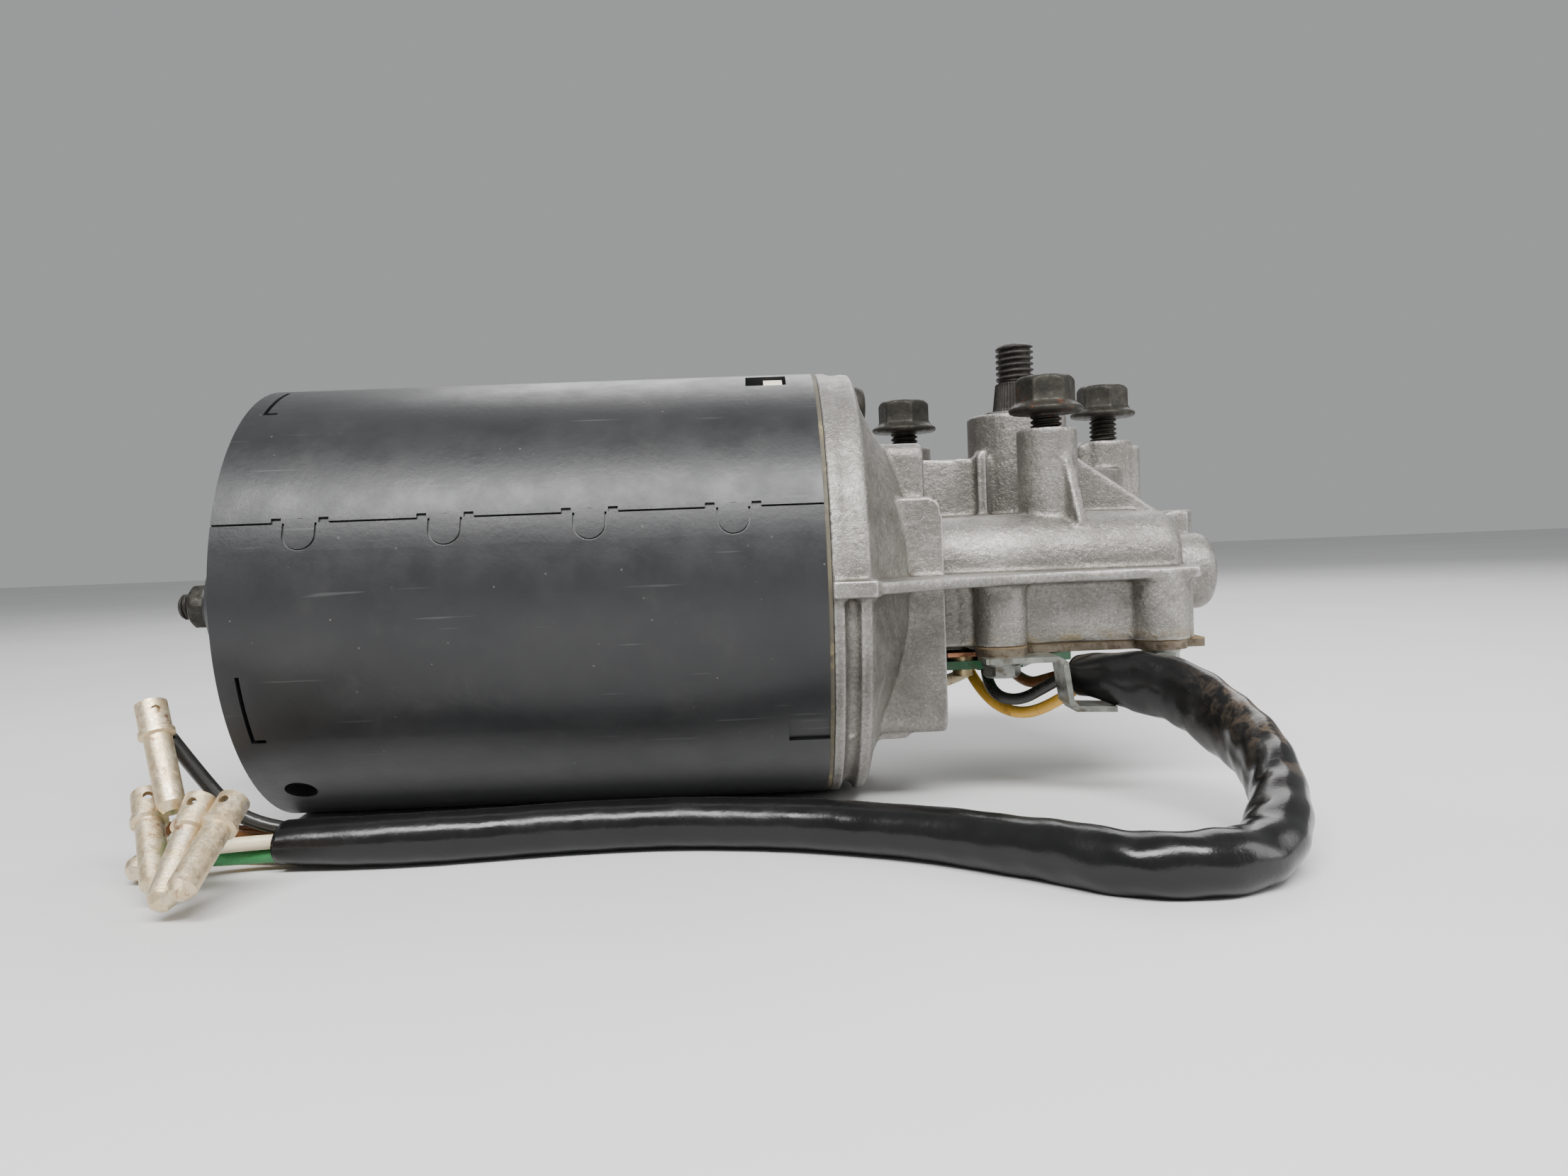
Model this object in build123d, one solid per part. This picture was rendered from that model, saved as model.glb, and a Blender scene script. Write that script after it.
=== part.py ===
from build123d import *
import math
import os

# A worm gear motor: a brushed motor in a rolled steel yoke drives a worm, which turns a 40-tooth wheel
# on an upright output shaft in a die-cast housing.
#
# Every piece is modelled about the motor's axis: X runs along it from the yoke's open rim towards the
# gears, Y towards the output shaft, and Z up along that shaft. At export all of it is moved so that the
# origin lies on the output shaft's axis, level with the tops of the three mounting bosses.

# ---- driving dimensions, in millimetres and degrees ----
YOKE_R = 40.0              # outside of the rolled steel tube
YOKE_WALL = 2.2
YOKE_LENGTH = 99.0
SHAFT_X = 45.4             # output axis, from the yoke's open rim
CENTRE_DISTANCE = 24.0     # motor axis to output axis
MOUNT_Z = 27.9             # tops of the mounting bosses above the motor axis
BOLT_CIRCLE_R = 26.0
BOLT_ANGLES = (-90, 30, 150)
BOLT_R = 3.0               # M6 mounting bolts
BOLT_LIFTS = (3.0, 5.4, 3.6)   # how far each bolt's flange stands above its boss
BOLT_HEAD_T = 7.1          # flange and hexagon together
OUTPUT_THREAD_R = 4.0      # M8 end of the output shaft
WHEEL_TEETH = 40
AXIAL_MODULE = 0.97
ARMATURE_SHAFT_R = 4.0
SLEEVE_R = 4.0
WIRE_R = 1.15
BULLET_R = 2.0             # pin of a bullet terminal
BULLET_LENGTH = 18.0
LEAD_R = 1.1

# ---- worked out from them ----
YOKE_BORE = YOKE_R - YOKE_WALL
WHEEL_PITCH_R = WHEEL_TEETH * AXIAL_MODULE / 2
WORM_PITCH_R = CENTRE_DISTANCE - WHEEL_PITCH_R
WORM_LEAD = math.pi * AXIAL_MODULE
ADDENDUM = 0.7
DEDENDUM = 1.1
TOOTH_HALF = WORM_LEAD / 4 - 0.125      # half a tooth's thickness on the pitch line, with backlash
FLANK_SLOPE = math.tan(math.radians(20))
ORIGIN = (SHAFT_X, CENTRE_DISTANCE, MOUNT_Z)

# Levels and stations shared by neighbouring pieces.
SEAL_T = 0.7               # gasket between yoke and housing
HOUSING_BOTTOM = -12.2
GASKET_T = 0.3
PLATE_T = 1.4
PLATE_BOTTOM = HOUSING_BOTTOM - GASKET_T - PLATE_T
DECK_Z = 11.9              # top of the gearbox
TUNNEL_TOP = 11.5          # top of the rounded tunnel over the worm
BOSS_TOP = 33.1            # top of the output boss
CHAMBER_R = 21.8
CHAMBER_TOP = 8.4
COVER_X = -YOKE_LENGTH + 1.2    # outer face of the rear cover's disc
CLAMP_SCREW = (32.5, -16.2)
COVER_SCREWS = ((62.2, -14.8), (59.0, 46.6), (31.8, 46.6))
COVER_BOSS_R = 4.7
HOUSING_SCREW_R = 34.4     # circle of the two screws that hold the housing to the motor
HOUSING_SCREW_ANGLES = (-6, -160)   # from +Z, turning towards -Y
SCREW_R = 2.05
SCREW_SEAT_X = 7.4


# ---- helpers ----
def along_x(x0, x1, radius, y=0.0, z=0.0):
    upward = (Align.CENTER, Align.CENTER, Align.MIN)
    return Pos(x0, y, z) * Rot(0, 90, 0) * Cylinder(radius, x1 - x0, align=upward)


def upright(z0, z1, radius, x=0.0, y=0.0):
    return Pos(x, y, z0) * Cylinder(radius, z1 - z0, align=(Align.CENTER, Align.CENTER, Align.MIN))


def block(x0, x1, y0, y1, z0, z1):
    return Pos(x0, y0, z0) * Box(x1 - x0, y1 - y0, z1 - z0, align=(Align.MIN, Align.MIN, Align.MIN))


def turned_x(*profile):
    """A body of revolution about the motor axis from (x, radius) points."""
    face = make_face(Polyline(*[(x, 0, r) for x, r in profile], close=True))
    return revolve(face, Axis.X, 360)


def turned_z(x, y, *profile):
    """A body of revolution about an upright axis from (radius, z) points."""
    face = make_face(Polyline(*[(x + r, y, z) for r, z in profile], close=True))
    return revolve(face, Axis((x, y, 0), (0, 0, 1)), 360)


def slab(z0, z1, *outline):
    """A flat piece of any outline, given as (x, y) points."""
    face = make_face(Polyline(*[(x, y, z0) for x, y in outline], close=True))
    return extrude(face, z1 - z0, dir=(0, 0, 1))


def upright_rib(y0, y1, *outline):
    """A rib in a plane across Y, given as (x, z) points."""
    face = make_face(Polyline(*[(x, y0, z) for x, z in outline], close=True))
    return extrude(face, y1 - y0, dir=(0, 1, 0))


def on_circle(angle, radius=BOLT_CIRCLE_R):
    """A point at that angle about the output shaft."""
    a = math.radians(angle)
    return SHAFT_X + radius * math.cos(a), CENTRE_DISTANCE + radius * math.sin(a)


def yoke_plane(x, phi, radius=YOKE_R):
    """A plane on the yoke's surface; phi turns up from the side that faces -Y, and y_dir points up."""
    a = math.radians(phi)
    normal = (0, -math.cos(a), math.sin(a))
    return Plane(origin=(x, normal[1] * radius, normal[2] * radius), x_dir=(1, 0, 0), z_dir=normal)


def hexagon(across_flats):
    return RegularPolygon(across_flats / math.sqrt(3), 6)


def tube(points, radius, name):
    """A round cord along straight runs joined by arcs as large as the runs allow."""
    pts = [Vector(*p) for p in points]
    radii = []
    for before, here, after in zip(pts, pts[1:], pts[2:]):
        run_in, run_out = here - before, after - here
        turn = math.radians(run_in.get_angle(run_out))
        radii.append(0.45 * min(run_in.length, run_out.length) / math.tan(turn / 2))
    route = FilletPolyline(*points, radius=radii) if radii else Line(*points)
    section = Plane(origin=pts[0], z_dir=pts[1] - pts[0]) * Circle(radius)
    solid = sweep(section, path=route)
    share = solid.volume / (math.pi * radius**2 * route.length)
    print(f"{name}: length {route.length:.1f}, volume share {share:.3f}, "
          f"radii {[round(r, 1) for r in radii]}")
    return solid


def save(node, *solids):
    """Write one node's solids, moved into the part's own frame."""
    shift = Pos(*[-v for v in ORIGIN])
    pieces = []
    for shape in solids:
        pieces += [shift * solid for solid in shape.solids()]
    export_step(pieces[0] if len(pieces) == 1 else Compound(children=pieces), f"parts/{node}.step")


# ---- the yoke and what is fixed in it ----
SEAM_PHI = 20.8
TONGUE_XS = (-84.7, -61.4, -38.1, -14.8)
TONGUE_W = 5.2
TONGUE_DEPTH = 4.6
GROOVE_W = 0.35
GROOVE_DEPTH = 0.45


def seam_tongue(x):
    """The U-shaped cut round one clinch tongue, and the nicks where it leaves the seam."""
    plane = yoke_plane(x, SEAM_PHI, YOKE_R - GROOVE_DEPTH)
    half, straight = TONGUE_W / 2, TONGUE_DEPTH - TONGUE_W / 2
    outer = Pos(0, -straight / 2) * Rectangle(TONGUE_W + GROOVE_W, straight) \
        + Pos(0, -straight) * Circle(half + GROOVE_W / 2)
    inner = Pos(0, -straight / 2 + GROOVE_W) * Rectangle(TONGUE_W - GROOVE_W, straight + 2 * GROOVE_W) \
        + Pos(0, -straight) * Circle(half - GROOVE_W / 2)
    nicks = [Pos(side * (half + 1.2), 0.45) * Rectangle(1.6, 0.9) for side in (-1, 1)]
    return extrude(plane * (outer - inner + nicks), 1.5)


def seam_line():
    """The butt joint of the rolled tube, cut between the tongues."""
    stops = [-YOKE_LENGTH] + [x + side * (TONGUE_W / 2 + 1.6) for x in TONGUE_XS for side in (-1, 1)] + [0]
    cuts = []
    for x0, x1 in zip(stops[::2], stops[1::2]):
        plane = yoke_plane((x0 + x1) / 2, SEAM_PHI, YOKE_R - GROOVE_DEPTH)
        cuts.append(extrude(plane * Rectangle(x1 - x0, GROOVE_W), 1.5))
    return cuts


def lanced_slot(phi):
    """An L-shaped slit near the closed end, where a tab is pressed in behind the rear cover."""
    x = -YOKE_LENGTH + 3.4
    length = 2 * YOKE_R * math.tan(math.radians(9))
    plane = yoke_plane(x, phi, YOKE_R - 2 * YOKE_WALL)
    slit = Rectangle(0.7, length) + Pos(0.9, -length / 2 + 0.35) * Rectangle(2.5, 0.7)
    return extrude(plane * slit, 3 * YOKE_WALL)


def yoke():
    tube_body = turned_x((-YOKE_LENGTH, YOKE_BORE), (-YOKE_LENGTH, YOKE_R), (0, YOKE_R), (0, YOKE_BORE))
    cuts = [seam_tongue(x) for x in TONGUE_XS] + seam_line()
    cuts += [lanced_slot(phi) for phi in (-24, 66, 156, 246)]
    cuts.append(extrude(yoke_plane(-91.8, -52.4, YOKE_BORE - 1) * Circle(2.75), 4))
    cuts.append(extrude(yoke_plane(-54.6, -76, YOKE_BORE - 1) * Circle(2.5), 4))
    cuts.append(extrude(yoke_plane(-8.5, 70, YOKE_BORE - 1) * Rectangle(7.3, 7.0), 4))
    cuts.append(extrude(yoke_plane(-3.2, -36, YOKE_R - 0.6) * Rectangle(7.6, 5.0), 2))
    return tube_body - cuts


REAR_BOSS_END = -115.8
REAR_BEARING_X = (-110.5, -101.5)


def rear_end_cover():
    """A pressed cover with a rim inside the yoke and a hollow bearing boss that stands out behind it."""
    x = COVER_X
    body = turned_x((x, 0), (x, YOKE_BORE), (x + 8, YOKE_BORE), (x + 8, YOKE_BORE - 1.8),
                    (x + 1.8, YOKE_BORE - 1.8), (x + 1.8, 0))
    boss = turned_x((x, 0), (x, 13.5), (x - 2.2, 11), (-112.4, 11), (-113.4, 10), (-113.4, 5.6),
                    (REAR_BOSS_END, 5.6), (REAR_BOSS_END, 0))
    hollow = along_x(REAR_BEARING_X[0] - 1.2, x + 3, 9.02)
    thread = along_x(REAR_BOSS_END - 1, -108, 2.5)
    ribs = [Rot(a, 0, 0) * block(x - 0.9, x + 0.5, 17, 32, -2.5, 2.5) for a in range(30, 390, 60)]
    return body + boss + ribs - hollow - thread


def rear_bearing():
    """A sintered bush with a ball-shaped outside that lines itself up in the boss."""
    x0, x1 = REAR_BEARING_X
    ball = Pos((x0 + x1) / 2, 0, 0) * Sphere(9.0)
    bush = ball & along_x(x0, x1, 12)
    return bush - along_x(x0 - 1, x1 + 1, ARMATURE_SHAFT_R + 0.05)


def rear_bearing_clip():
    """A spring washer with fingers that holds the bush in its seat."""
    x = COVER_X + 1.9
    ring = turned_x((x, 8.0), (x, 16.5), (x + 0.6, 16.5), (x + 0.6, 8.0))
    notches = [Rot(a, 0, 0) * block(x - 1, x + 2, 6, 12, -0.8, 0.8) for a in range(0, 360, 60)]
    return ring - notches


def end_float_screw():
    stud = along_x(-122.1, -108.1, 2.48)
    slot = block(-123, -121.2, -3, 3, -0.4, 0.4)
    return chamfer(stud.edges().group_by(Axis.X)[0], 0.5) - slot


def end_float_lock_nut():
    nut = extrude(Plane(origin=(REAR_BOSS_END, 0, 0), x_dir=(0, 0, 1), z_dir=(-1, 0, 0)) * hexagon(8), 3.9)
    dome = turned_x((REAR_BOSS_END, 0), (REAR_BOSS_END, 4.7), (-118.7, 4.7), (-119.8, 3.9), (-119.8, 0))
    return (nut & dome) - along_x(-121, -115, 2.5)


MAGNET_X = (-89.0, -31.0)
MAGNET_IN_R = 31.6
MAGNET_HALF_ANGLE = 60
ARMATURE_R = 30.7


def field_magnets():
    ring = turned_x((MAGNET_X[0], MAGNET_IN_R), (MAGNET_X[0], YOKE_BORE), (MAGNET_X[1], YOKE_BORE),
                    (MAGNET_X[1], MAGNET_IN_R))
    return [ring & (Rot(a, 0, 0) * wedge(MAGNET_HALF_ANGLE)) for a in (0, 180)]


def wedge(half_angle):
    """A long wedge about the motor axis, centred on +Z."""
    reach = 60
    pts = [(-100, 0, 0)]
    for share in (-1, -0.5, 0, 0.5, 1):
        a = math.radians(half_angle * share)
        pts.append((-100, reach * math.sin(a), reach * math.cos(a)))
    return extrude(make_face(Polyline(*pts, close=True)), 100, dir=(1, 0, 0))


def magnet_clips():
    """Two bent spring strips that push the magnets apart against the yoke."""
    x0, x1 = MAGNET_X[0] + 7, MAGNET_X[1] - 7
    half = 90 - MAGNET_HALF_ANGLE
    inner, outer = YOKE_BORE - 1.0, YOKE_BORE - 0.1
    back = turned_x((x0, inner), (x0, outer), (x1, outer), (x1, inner))
    back = back & wedge(half - 0.1)
    foot = block(x0, x1, -0.4, 0.4, YOKE_BORE - 4.6, YOKE_BORE - 0.6)
    feet = [Rot(s * (half - 0.9), 0, 0) * foot for s in (-1, 1)]
    return [Rot(a, 0, 0) * (back + feet) for a in (90, 270)]


# ---- the brush gear ----
BRUSH_PLATE_X = (-9.2, -5.8)
COMMUTATOR_X = (-25.0, -10.5)
COMMUTATOR_R = 11.5
BRUSH_ANGLES = (180, 0, 60)     # two main brushes and one for the second speed, up from +Y


def brush_plate():
    plate = turned_x((BRUSH_PLATE_X[0], 14.5), (BRUSH_PLATE_X[0], YOKE_BORE - 0.3),
                     (BRUSH_PLATE_X[1], YOKE_BORE - 0.3), (BRUSH_PLATE_X[1], 14.5))
    peg = extrude(yoke_plane(-7.2, 70, YOKE_BORE - 3) * Rectangle(3.4, 4.8), 4.6)
    holes = [Rot(a, 0, 0) * along_x(-10, -5, SCREW_R, 0, HOUSING_SCREW_R) for a in HOUSING_SCREW_ANGLES]
    vents = [Rot(a, 0, 0) * along_x(-10, -5, 3.2, 0, 26) for a in (20, 150, 190, 225)]
    return plate + peg - holes - vents


def in_brush_axes(angle, shape):
    return Rot(angle, 0, 0) * shape


def brush_holder(angle):
    body = block(-23.2, BRUSH_PLATE_X[0], 13.2, 27.0, -4.6, 4.6)
    bore = block(-22.0, -11.6, 12, 30, -3.3, 3.3)
    feet = block(BRUSH_PLATE_X[0] - 0.8, BRUSH_PLATE_X[0], 13.8, 28.5, -6.5, 6.5)
    return in_brush_axes(angle, body + feet - bore)


def carbon_brush(angle):
    body = block(-21.8, -11.8, 10.5, 22.0, -3.1, 3.1) - along_x(-30, 0, COMMUTATOR_R + 0.05)
    return in_brush_axes(angle, body)


def brush_spring(angle):
    """A flat spring bent over the back of the brush, hooked on its holder."""
    back = block(-20.0, -13.5, 22.0, 22.5, -2.6, 2.6)
    arm = block(-17.5, -16.0, 22.5, 27.8, -2.2, -1.7) + block(-17.5, -16.0, 22.5, 27.8, 1.7, 2.2)
    hook = block(-17.5, -16.0, 27.3, 27.8, -2.2, 2.2)
    return in_brush_axes(angle, back + arm + hook)


# ---- the armature ----
CORE_X = (-84.0, -36.0)
SLOTS = 12
WORM_X = (31.0, 60.0)
FRONT_BEARING_X = (9.0, 19.0)
END_BUSH_X = (66.0, 72.0)
SHAFT_END_X = 73.4


def worm_thread():
    """One start of the worm, a trapezoid carried along a helix that ends inside the shaft."""
    root = WORM_PITCH_R - DEDENDUM
    length = WORM_X[1] - WORM_X[0] - 4
    sink = 0.25
    tall = ADDENDUM + DEDENDUM + sink
    foot = TOOTH_HALF + (DEDENDUM + sink) * FLANK_SLOPE
    tip = TOOTH_HALF - ADDENDUM * FLANK_SLOPE
    helix = Helix(pitch=WORM_LEAD, height=length, radius=root - sink)
    tooth = make_face(Polyline((0, -foot), (tall, -tip), (tall, tip), (0, foot), close=True))
    profile = Plane.XZ * Pos(root - sink, 0) * tooth
    thread = sweep(profile, path=helix, is_frenet=True)
    # The thread crosses the +Y side, where it meets the wheel, at the output shaft's station.
    start = WORM_X[0] + 2
    laid = Rot(0, 90, 0) * thread
    phase = (SHAFT_X - start) / WORM_LEAD * 360
    return Pos(start, 0, 0) * Rot(90 - phase, 0, 0) * laid


def armature_shaft():
    root = WORM_PITCH_R - DEDENDUM
    r = ARMATURE_SHAFT_R
    body = turned_x((-107.9, 0), (-107.9, r - 0.4), (-107.5, r), (WORM_X[0] - 2, r), (WORM_X[0], root),
                    (WORM_X[1], root), (WORM_X[1] + 1, root), (END_BUSH_X[0] - 2, 3.0), (SHAFT_END_X, 3.0),
                    (SHAFT_END_X, 0))
    return body + worm_thread()


def armature_core():
    core = along_x(CORE_X[0], CORE_X[1], ARMATURE_R)
    cutters = []
    for k in range(SLOTS):
        mouth = block(CORE_X[0] - 1, CORE_X[1] + 1, 15, 32, -1.1, 1.1)
        pocket = block(CORE_X[0] - 1, CORE_X[1] + 1, 14.5, 28.6, -2.6, 2.6)
        cutters.append(Rot(360 / SLOTS * k, 0, 0) * (mouth + pocket))
    return core - cutters - along_x(CORE_X[0] - 1, CORE_X[1] + 1, ARMATURE_SHAFT_R)


def armature_windings():
    """The end turns as two rounded rings, joined by the coil sides in the core's slots."""
    rings = []
    for x0, x1 in ((CORE_X[0] - 9.5, CORE_X[0] - 0.2), (CORE_X[1] + 0.2, CORE_X[1] + 9.0)):
        ring = turned_x((x0, 11), (x0, 24.5), (x0 + 2.5, 28.2), (x1 - 2.5, 28.2), (x1, 26.5), (x1, 11))
        rings.append(ring)
    sides = [Rot(360 / SLOTS * k, 0, 0) * block(CORE_X[0] - 0.5, CORE_X[1] + 0.5, 15.2, 28.2, -2.3, 2.3)
             for k in range(SLOTS)]
    return rings[0] + rings[1] + sides


def commutator():
    """Twelve copper bars with risers."""
    x0, x1 = COMMUTATOR_X
    blank = turned_x((x0, 7.5), (x0, 13.2), (x0 + 2.0, 13.2), (x0 + 2.0, COMMUTATOR_R), (x1, COMMUTATOR_R),
                     (x1, 7.5))
    gaps = [Rot(360 / SLOTS * k, 0, 0) * block(-26, -10, 7, 14, -0.3, 0.3) for k in range(SLOTS)]
    return blank - gaps


def commutator_hub():
    return turned_x((COMMUTATOR_X[0] - 0.8, ARMATURE_SHAFT_R), (COMMUTATOR_X[0] - 0.8, 7.5),
                    (COMMUTATOR_X[1] + 0.5, 7.5), (COMMUTATOR_X[1] + 0.5, ARMATURE_SHAFT_R))


def thrust_washers():
    """Insulating and hardened washers at both ends of the armature."""
    rear = turned_x((-101.2, 4.02), (-101.2, 7.6), (-100.4, 7.6), (-100.4, 4.02))
    front = turned_x((7.6, 4.02), (7.6, 7.6), (8.6, 7.6), (8.6, 4.02))
    return [rear, front]


# ---- bearings, bushes and the thrust ball in the housing ----
def front_bearing():
    x0, x1 = FRONT_BEARING_X
    return turned_x((x0, ARMATURE_SHAFT_R + 0.05), (x0, 8), (x1, 8), (x1, ARMATURE_SHAFT_R + 0.05))


def worm_end_bush():
    x0, x1 = END_BUSH_X
    return turned_x((x0, 3.05), (x0, 5), (x1, 5), (x1, 3.05))


def thrust_ball():
    return Pos(SHAFT_END_X + 1.45, 0, 0) * Sphere(1.4)


OUTPUT_R = 5.0
OUTPUT_BUSH_R = 7.0


def output_bush():
    return turned_z(SHAFT_X, CENTRE_DISTANCE, (OUTPUT_R + 0.05, CHAMBER_TOP), (OUTPUT_BUSH_R, CHAMBER_TOP),
                    (OUTPUT_BUSH_R, BOSS_TOP - 2.2), (OUTPUT_R + 0.05, BOSS_TOP - 2.2))


def output_seal_ring():
    ring = Pos(SHAFT_X, CENTRE_DISTANCE, BOSS_TOP - 1.2) * Torus(OUTPUT_R + 1.0, 0.9)
    return ring & upright(BOSS_TOP - 3, BOSS_TOP, OUTPUT_BUSH_R, SHAFT_X, CENTRE_DISTANCE)


# ---- the gear housing ----
def flange_and_dome():
    """The ribbed rim that closes the yoke and the shallow dome behind it."""
    s = SEAL_T
    rim = turned_x((s, 0), (s, 39.9), (2.6, 39.9), (2.8, 38.3), (5.0, 38.3), (5.2, 39.7), (6.9, 39.5),
                   (7.6, 38.2), (8.6, 34.3), (10.4, 30.4), (12.8, 26.4), (15.0, 22.0), (16.6, 16), (17.0, 0))
    ridge = turned_x((3.4, 38), (3.4, 39.5), (4.4, 39.5), (4.4, 38)) & block(0, 10, -50, 50, 1.2, 50)
    pad = block(s, 8.2, -41.0, -36, -1.4, 1.4)
    return rim + ridge + pad


def dome_hollow():
    return turned_x((0, 0), (0, 36.6), (4.2, 36.6), (6.4, 31.5), (8.6, 27.5), (8.6, 0))


def neck():
    """The box-shaped shoulder between the dome and the gearbox."""
    lower = block(9.0, 21.9, -20.0, 20.0, -27.4, 15.3)
    corners = lower.edges().filter_by(Axis.X).group_by(Axis.Z)[0]
    lower = fillet(corners, 4.0)
    shoulders = lower.faces().sort_by(Axis.X)[-1].edges().group_by(Axis.Z)[-1]
    lower = fillet(shoulders, 3.0)
    step = block(9.0, 15.0, -17.0, 17.0, -28.4, -20)
    tower = block(10.0, 20.6, -9.0, 20.0, 10, 25.8)
    tower = fillet(tower.edges().filter_by(Axis.X).group_by(Axis.Z)[-1], 2.5)
    tower = fillet(tower.faces().sort_by(Axis.X)[-1].edges().group_by(Axis.Z)[-1], 1.2)
    return lower + step + tower


def gearbox_walls():
    cx, cy = SHAFT_X, CENTRE_DISTANCE
    wheel_case = upright(HOUSING_BOTTOM, DECK_Z, CHAMBER_R + 2.8, cx, cy)
    front = block(20, 68.4, -15.4, 20, HOUSING_BOTTOM, 0)
    corner = block(60, 70.6, -9, 28, HOUSING_BOTTOM, 0)
    tunnel = block(15, 68.4, -13.0, 8, -2, TUNNEL_TOP)
    long_edge = tunnel.edges().filter_by(Axis.X).group_by(Axis.Z)[-1].sort_by(Axis.Y)[0]
    tunnel = fillet(long_edge, 8.6)
    tunnel = fillet(tunnel.faces().sort_by(Axis.X)[-1].edges().sort_by(Axis.Z)[1:], 3.6)
    end = fillet(along_x(58, 76.8, 7.4, 0, -0.5).edges().group_by(Axis.X)[-1], 2.6)
    deck = slab(-6, DECK_Z - 0.9, (56, 2), (74.6, 3.5), (76.4, 10), (73.0, 26), (60, 30))
    deck_boss = upright(3, 11.5, 4.1, 72.4, 7.6)
    return wheel_case + front + corner + tunnel + end + deck + deck_boss


def cover_bosses():
    """Upright bosses for the screws that hold the gear cover, and the small locating boss."""
    bosses = [upright(HOUSING_BOTTOM, 0.5, COVER_BOSS_R, *CLAMP_SCREW),
              upright(HOUSING_BOTTOM, 0.5, COVER_BOSS_R + 0.5, *COVER_SCREWS[0])]
    bosses += [upright(HOUSING_BOTTOM, 4.0, COVER_BOSS_R, x, y) for x, y in COVER_SCREWS[1:]]
    bosses.append(upright(-11.7, 0.5, 3.7, 27.2, -12.4))
    return bosses


def side_shelf():
    """The thin rib that runs from the rim along the gearbox."""
    return slab(-1.0, 1.0, (5.0, -40.6), (9.5, -39.6), (22, -29.5), (34, -23.5), (44, -20.6), (68.2, -19.6),
                (69.4, -17), (69.4, -6), (5.0, -6))


def output_boss():
    cx, cy = SHAFT_X, CENTRE_DISTANCE
    boss = upright(5, BOSS_TOP, 10.45, cx, cy)
    left, right = on_circle(150), on_circle(30)
    web = slab(8, 23.9, (15, 16.5), (35.6, 15.2), (40, 17), (left[0] + 4, left[1] + 4),
               (left[0] - 3, left[1] + 3), (12, 24))
    fin_left = upright_rib(13.2, 20.0, (34.7, 10), (34.7, 24.2), (35.6, 25.4), (36.6, 25.4), (36.6, 10))
    fin_slope = upright_rib(12.6, 14.8, (47.0, 8), (47.0, 27.0), (51.5, 26.0), (74.8, 9.6), (74.8, 8))
    web_right = slab(8, 21.5, (52, 16), (56, 15), (right[0] + 2, right[1] - 6), (right[0] - 4, right[1] + 5),
                     (50, 32))
    return boss + web + fin_left + fin_slope + web_right


def mount_bosses():
    front, right, left = [on_circle(a) for a in BOLT_ANGLES]
    bosses = [upright(9, MOUNT_Z, 5.75, *front), upright(-2, MOUNT_Z, 6.0, *right),
              upright(2, MOUNT_Z, 5.75, *left)]
    lugs = [upright(-2, MOUNT_Z - 1.2, 3.0, right[0] + 4.6, right[1] - 1.4),
            upright(-2, MOUNT_Z - 0.7, 2.8, right[0] - 4.6, right[1] - 1.2)]
    # A gusset leans on the front boss and spreads towards the tunnel.
    fx, fy = front
    side = make_face(Polyline((3.0, 0, 24.4), (5.4, 0, 24.4), (9.8, 0, 9.5), (3.0, 0, 9.5), close=True))
    gusset = Pos(fx, fy, 0) * Rot(0, 0, -62) * extrude(side, 1.1, both=True)
    return bosses + lugs + [gusset]


def clearances():
    """Everything cut out of the casting."""
    cx, cy = SHAFT_X, CENTRE_DISTANCE
    cuts = [dome_hollow(),
            upright(HOUSING_BOTTOM - 1, CHAMBER_TOP, CHAMBER_R, cx, cy),
            along_x(24, 64, 7.2),
            along_x(8, 30, ARMATURE_SHAFT_R + 1.2),
            along_x(8, FRONT_BEARING_X[1], 8),
            along_x(60, END_BUSH_X[1], 5),
            along_x(70, SHAFT_END_X + 2.85, 3.3),
            upright(CHAMBER_TOP - 1, BOSS_TOP + 1, OUTPUT_BUSH_R, cx, cy)]
    # Under the worm the casting is open to the cover.
    cuts.append(block(25, 57, -9.5, 6, HOUSING_BOTTOM - 1, 0))
    # The lead duct: a pocket from the motor side with a window towards the switch board.
    cuts.append(block(5, 19.2, -11, 11, -24.4, -13.0))
    cuts.append(block(18, 23, -9, 9, -23.0, -15.5))
    for angle in BOLT_ANGLES:
        x, y = on_circle(angle)
        cuts.append(upright(MOUNT_Z - 13.5, MOUNT_Z + 1, BOLT_R - 0.35, x, y))
        mouth = BOLT_R + 0.25
        cuts.append(turned_z(x, y, (0, MOUNT_Z - 0.9), (BOLT_R - 0.35, MOUNT_Z - 0.9), (mouth, MOUNT_Z),
                             (mouth, MOUNT_Z + 1), (0, MOUNT_Z + 1)))
    for x, y in (CLAMP_SCREW,) + COVER_SCREWS:
        cuts.append(upright(HOUSING_BOTTOM - 1, HOUSING_BOTTOM + 9, 1.7, x, y))
    for a in HOUSING_SCREW_ANGLES:
        cuts.append(Rot(a, 0, 0) * along_x(0, 12, 2.1, 0, HOUSING_SCREW_R))
        cuts.append(Rot(a, 0, 0) * along_x(SCREW_SEAT_X, 14, 4.2, 0, HOUSING_SCREW_R))
    cuts.append(along_x(67, 72, 1.6, 16, -9.2))
    return cuts



def screw_seats():
    """Round pads for the screws that hold the housing to the motor."""
    return [Rot(a, 0, 0) * along_x(2.0, SCREW_SEAT_X, 4.0, 0, HOUSING_SCREW_R) for a in HOUSING_SCREW_ANGLES]


def gear_housing():
    body = flange_and_dome() + neck() + gearbox_walls() + cover_bosses() + side_shelf()
    body = body + output_boss() + mount_bosses() + screw_seats()
    body = body & along_x(SEAL_T, 90, 60)
    return body - clearances()


def flange_seal():
    inner, outer = YOKE_BORE + 0.2, YOKE_R - 0.2
    return turned_x((0, inner), (0, outer), (SEAL_T, outer), (SEAL_T, inner))


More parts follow.
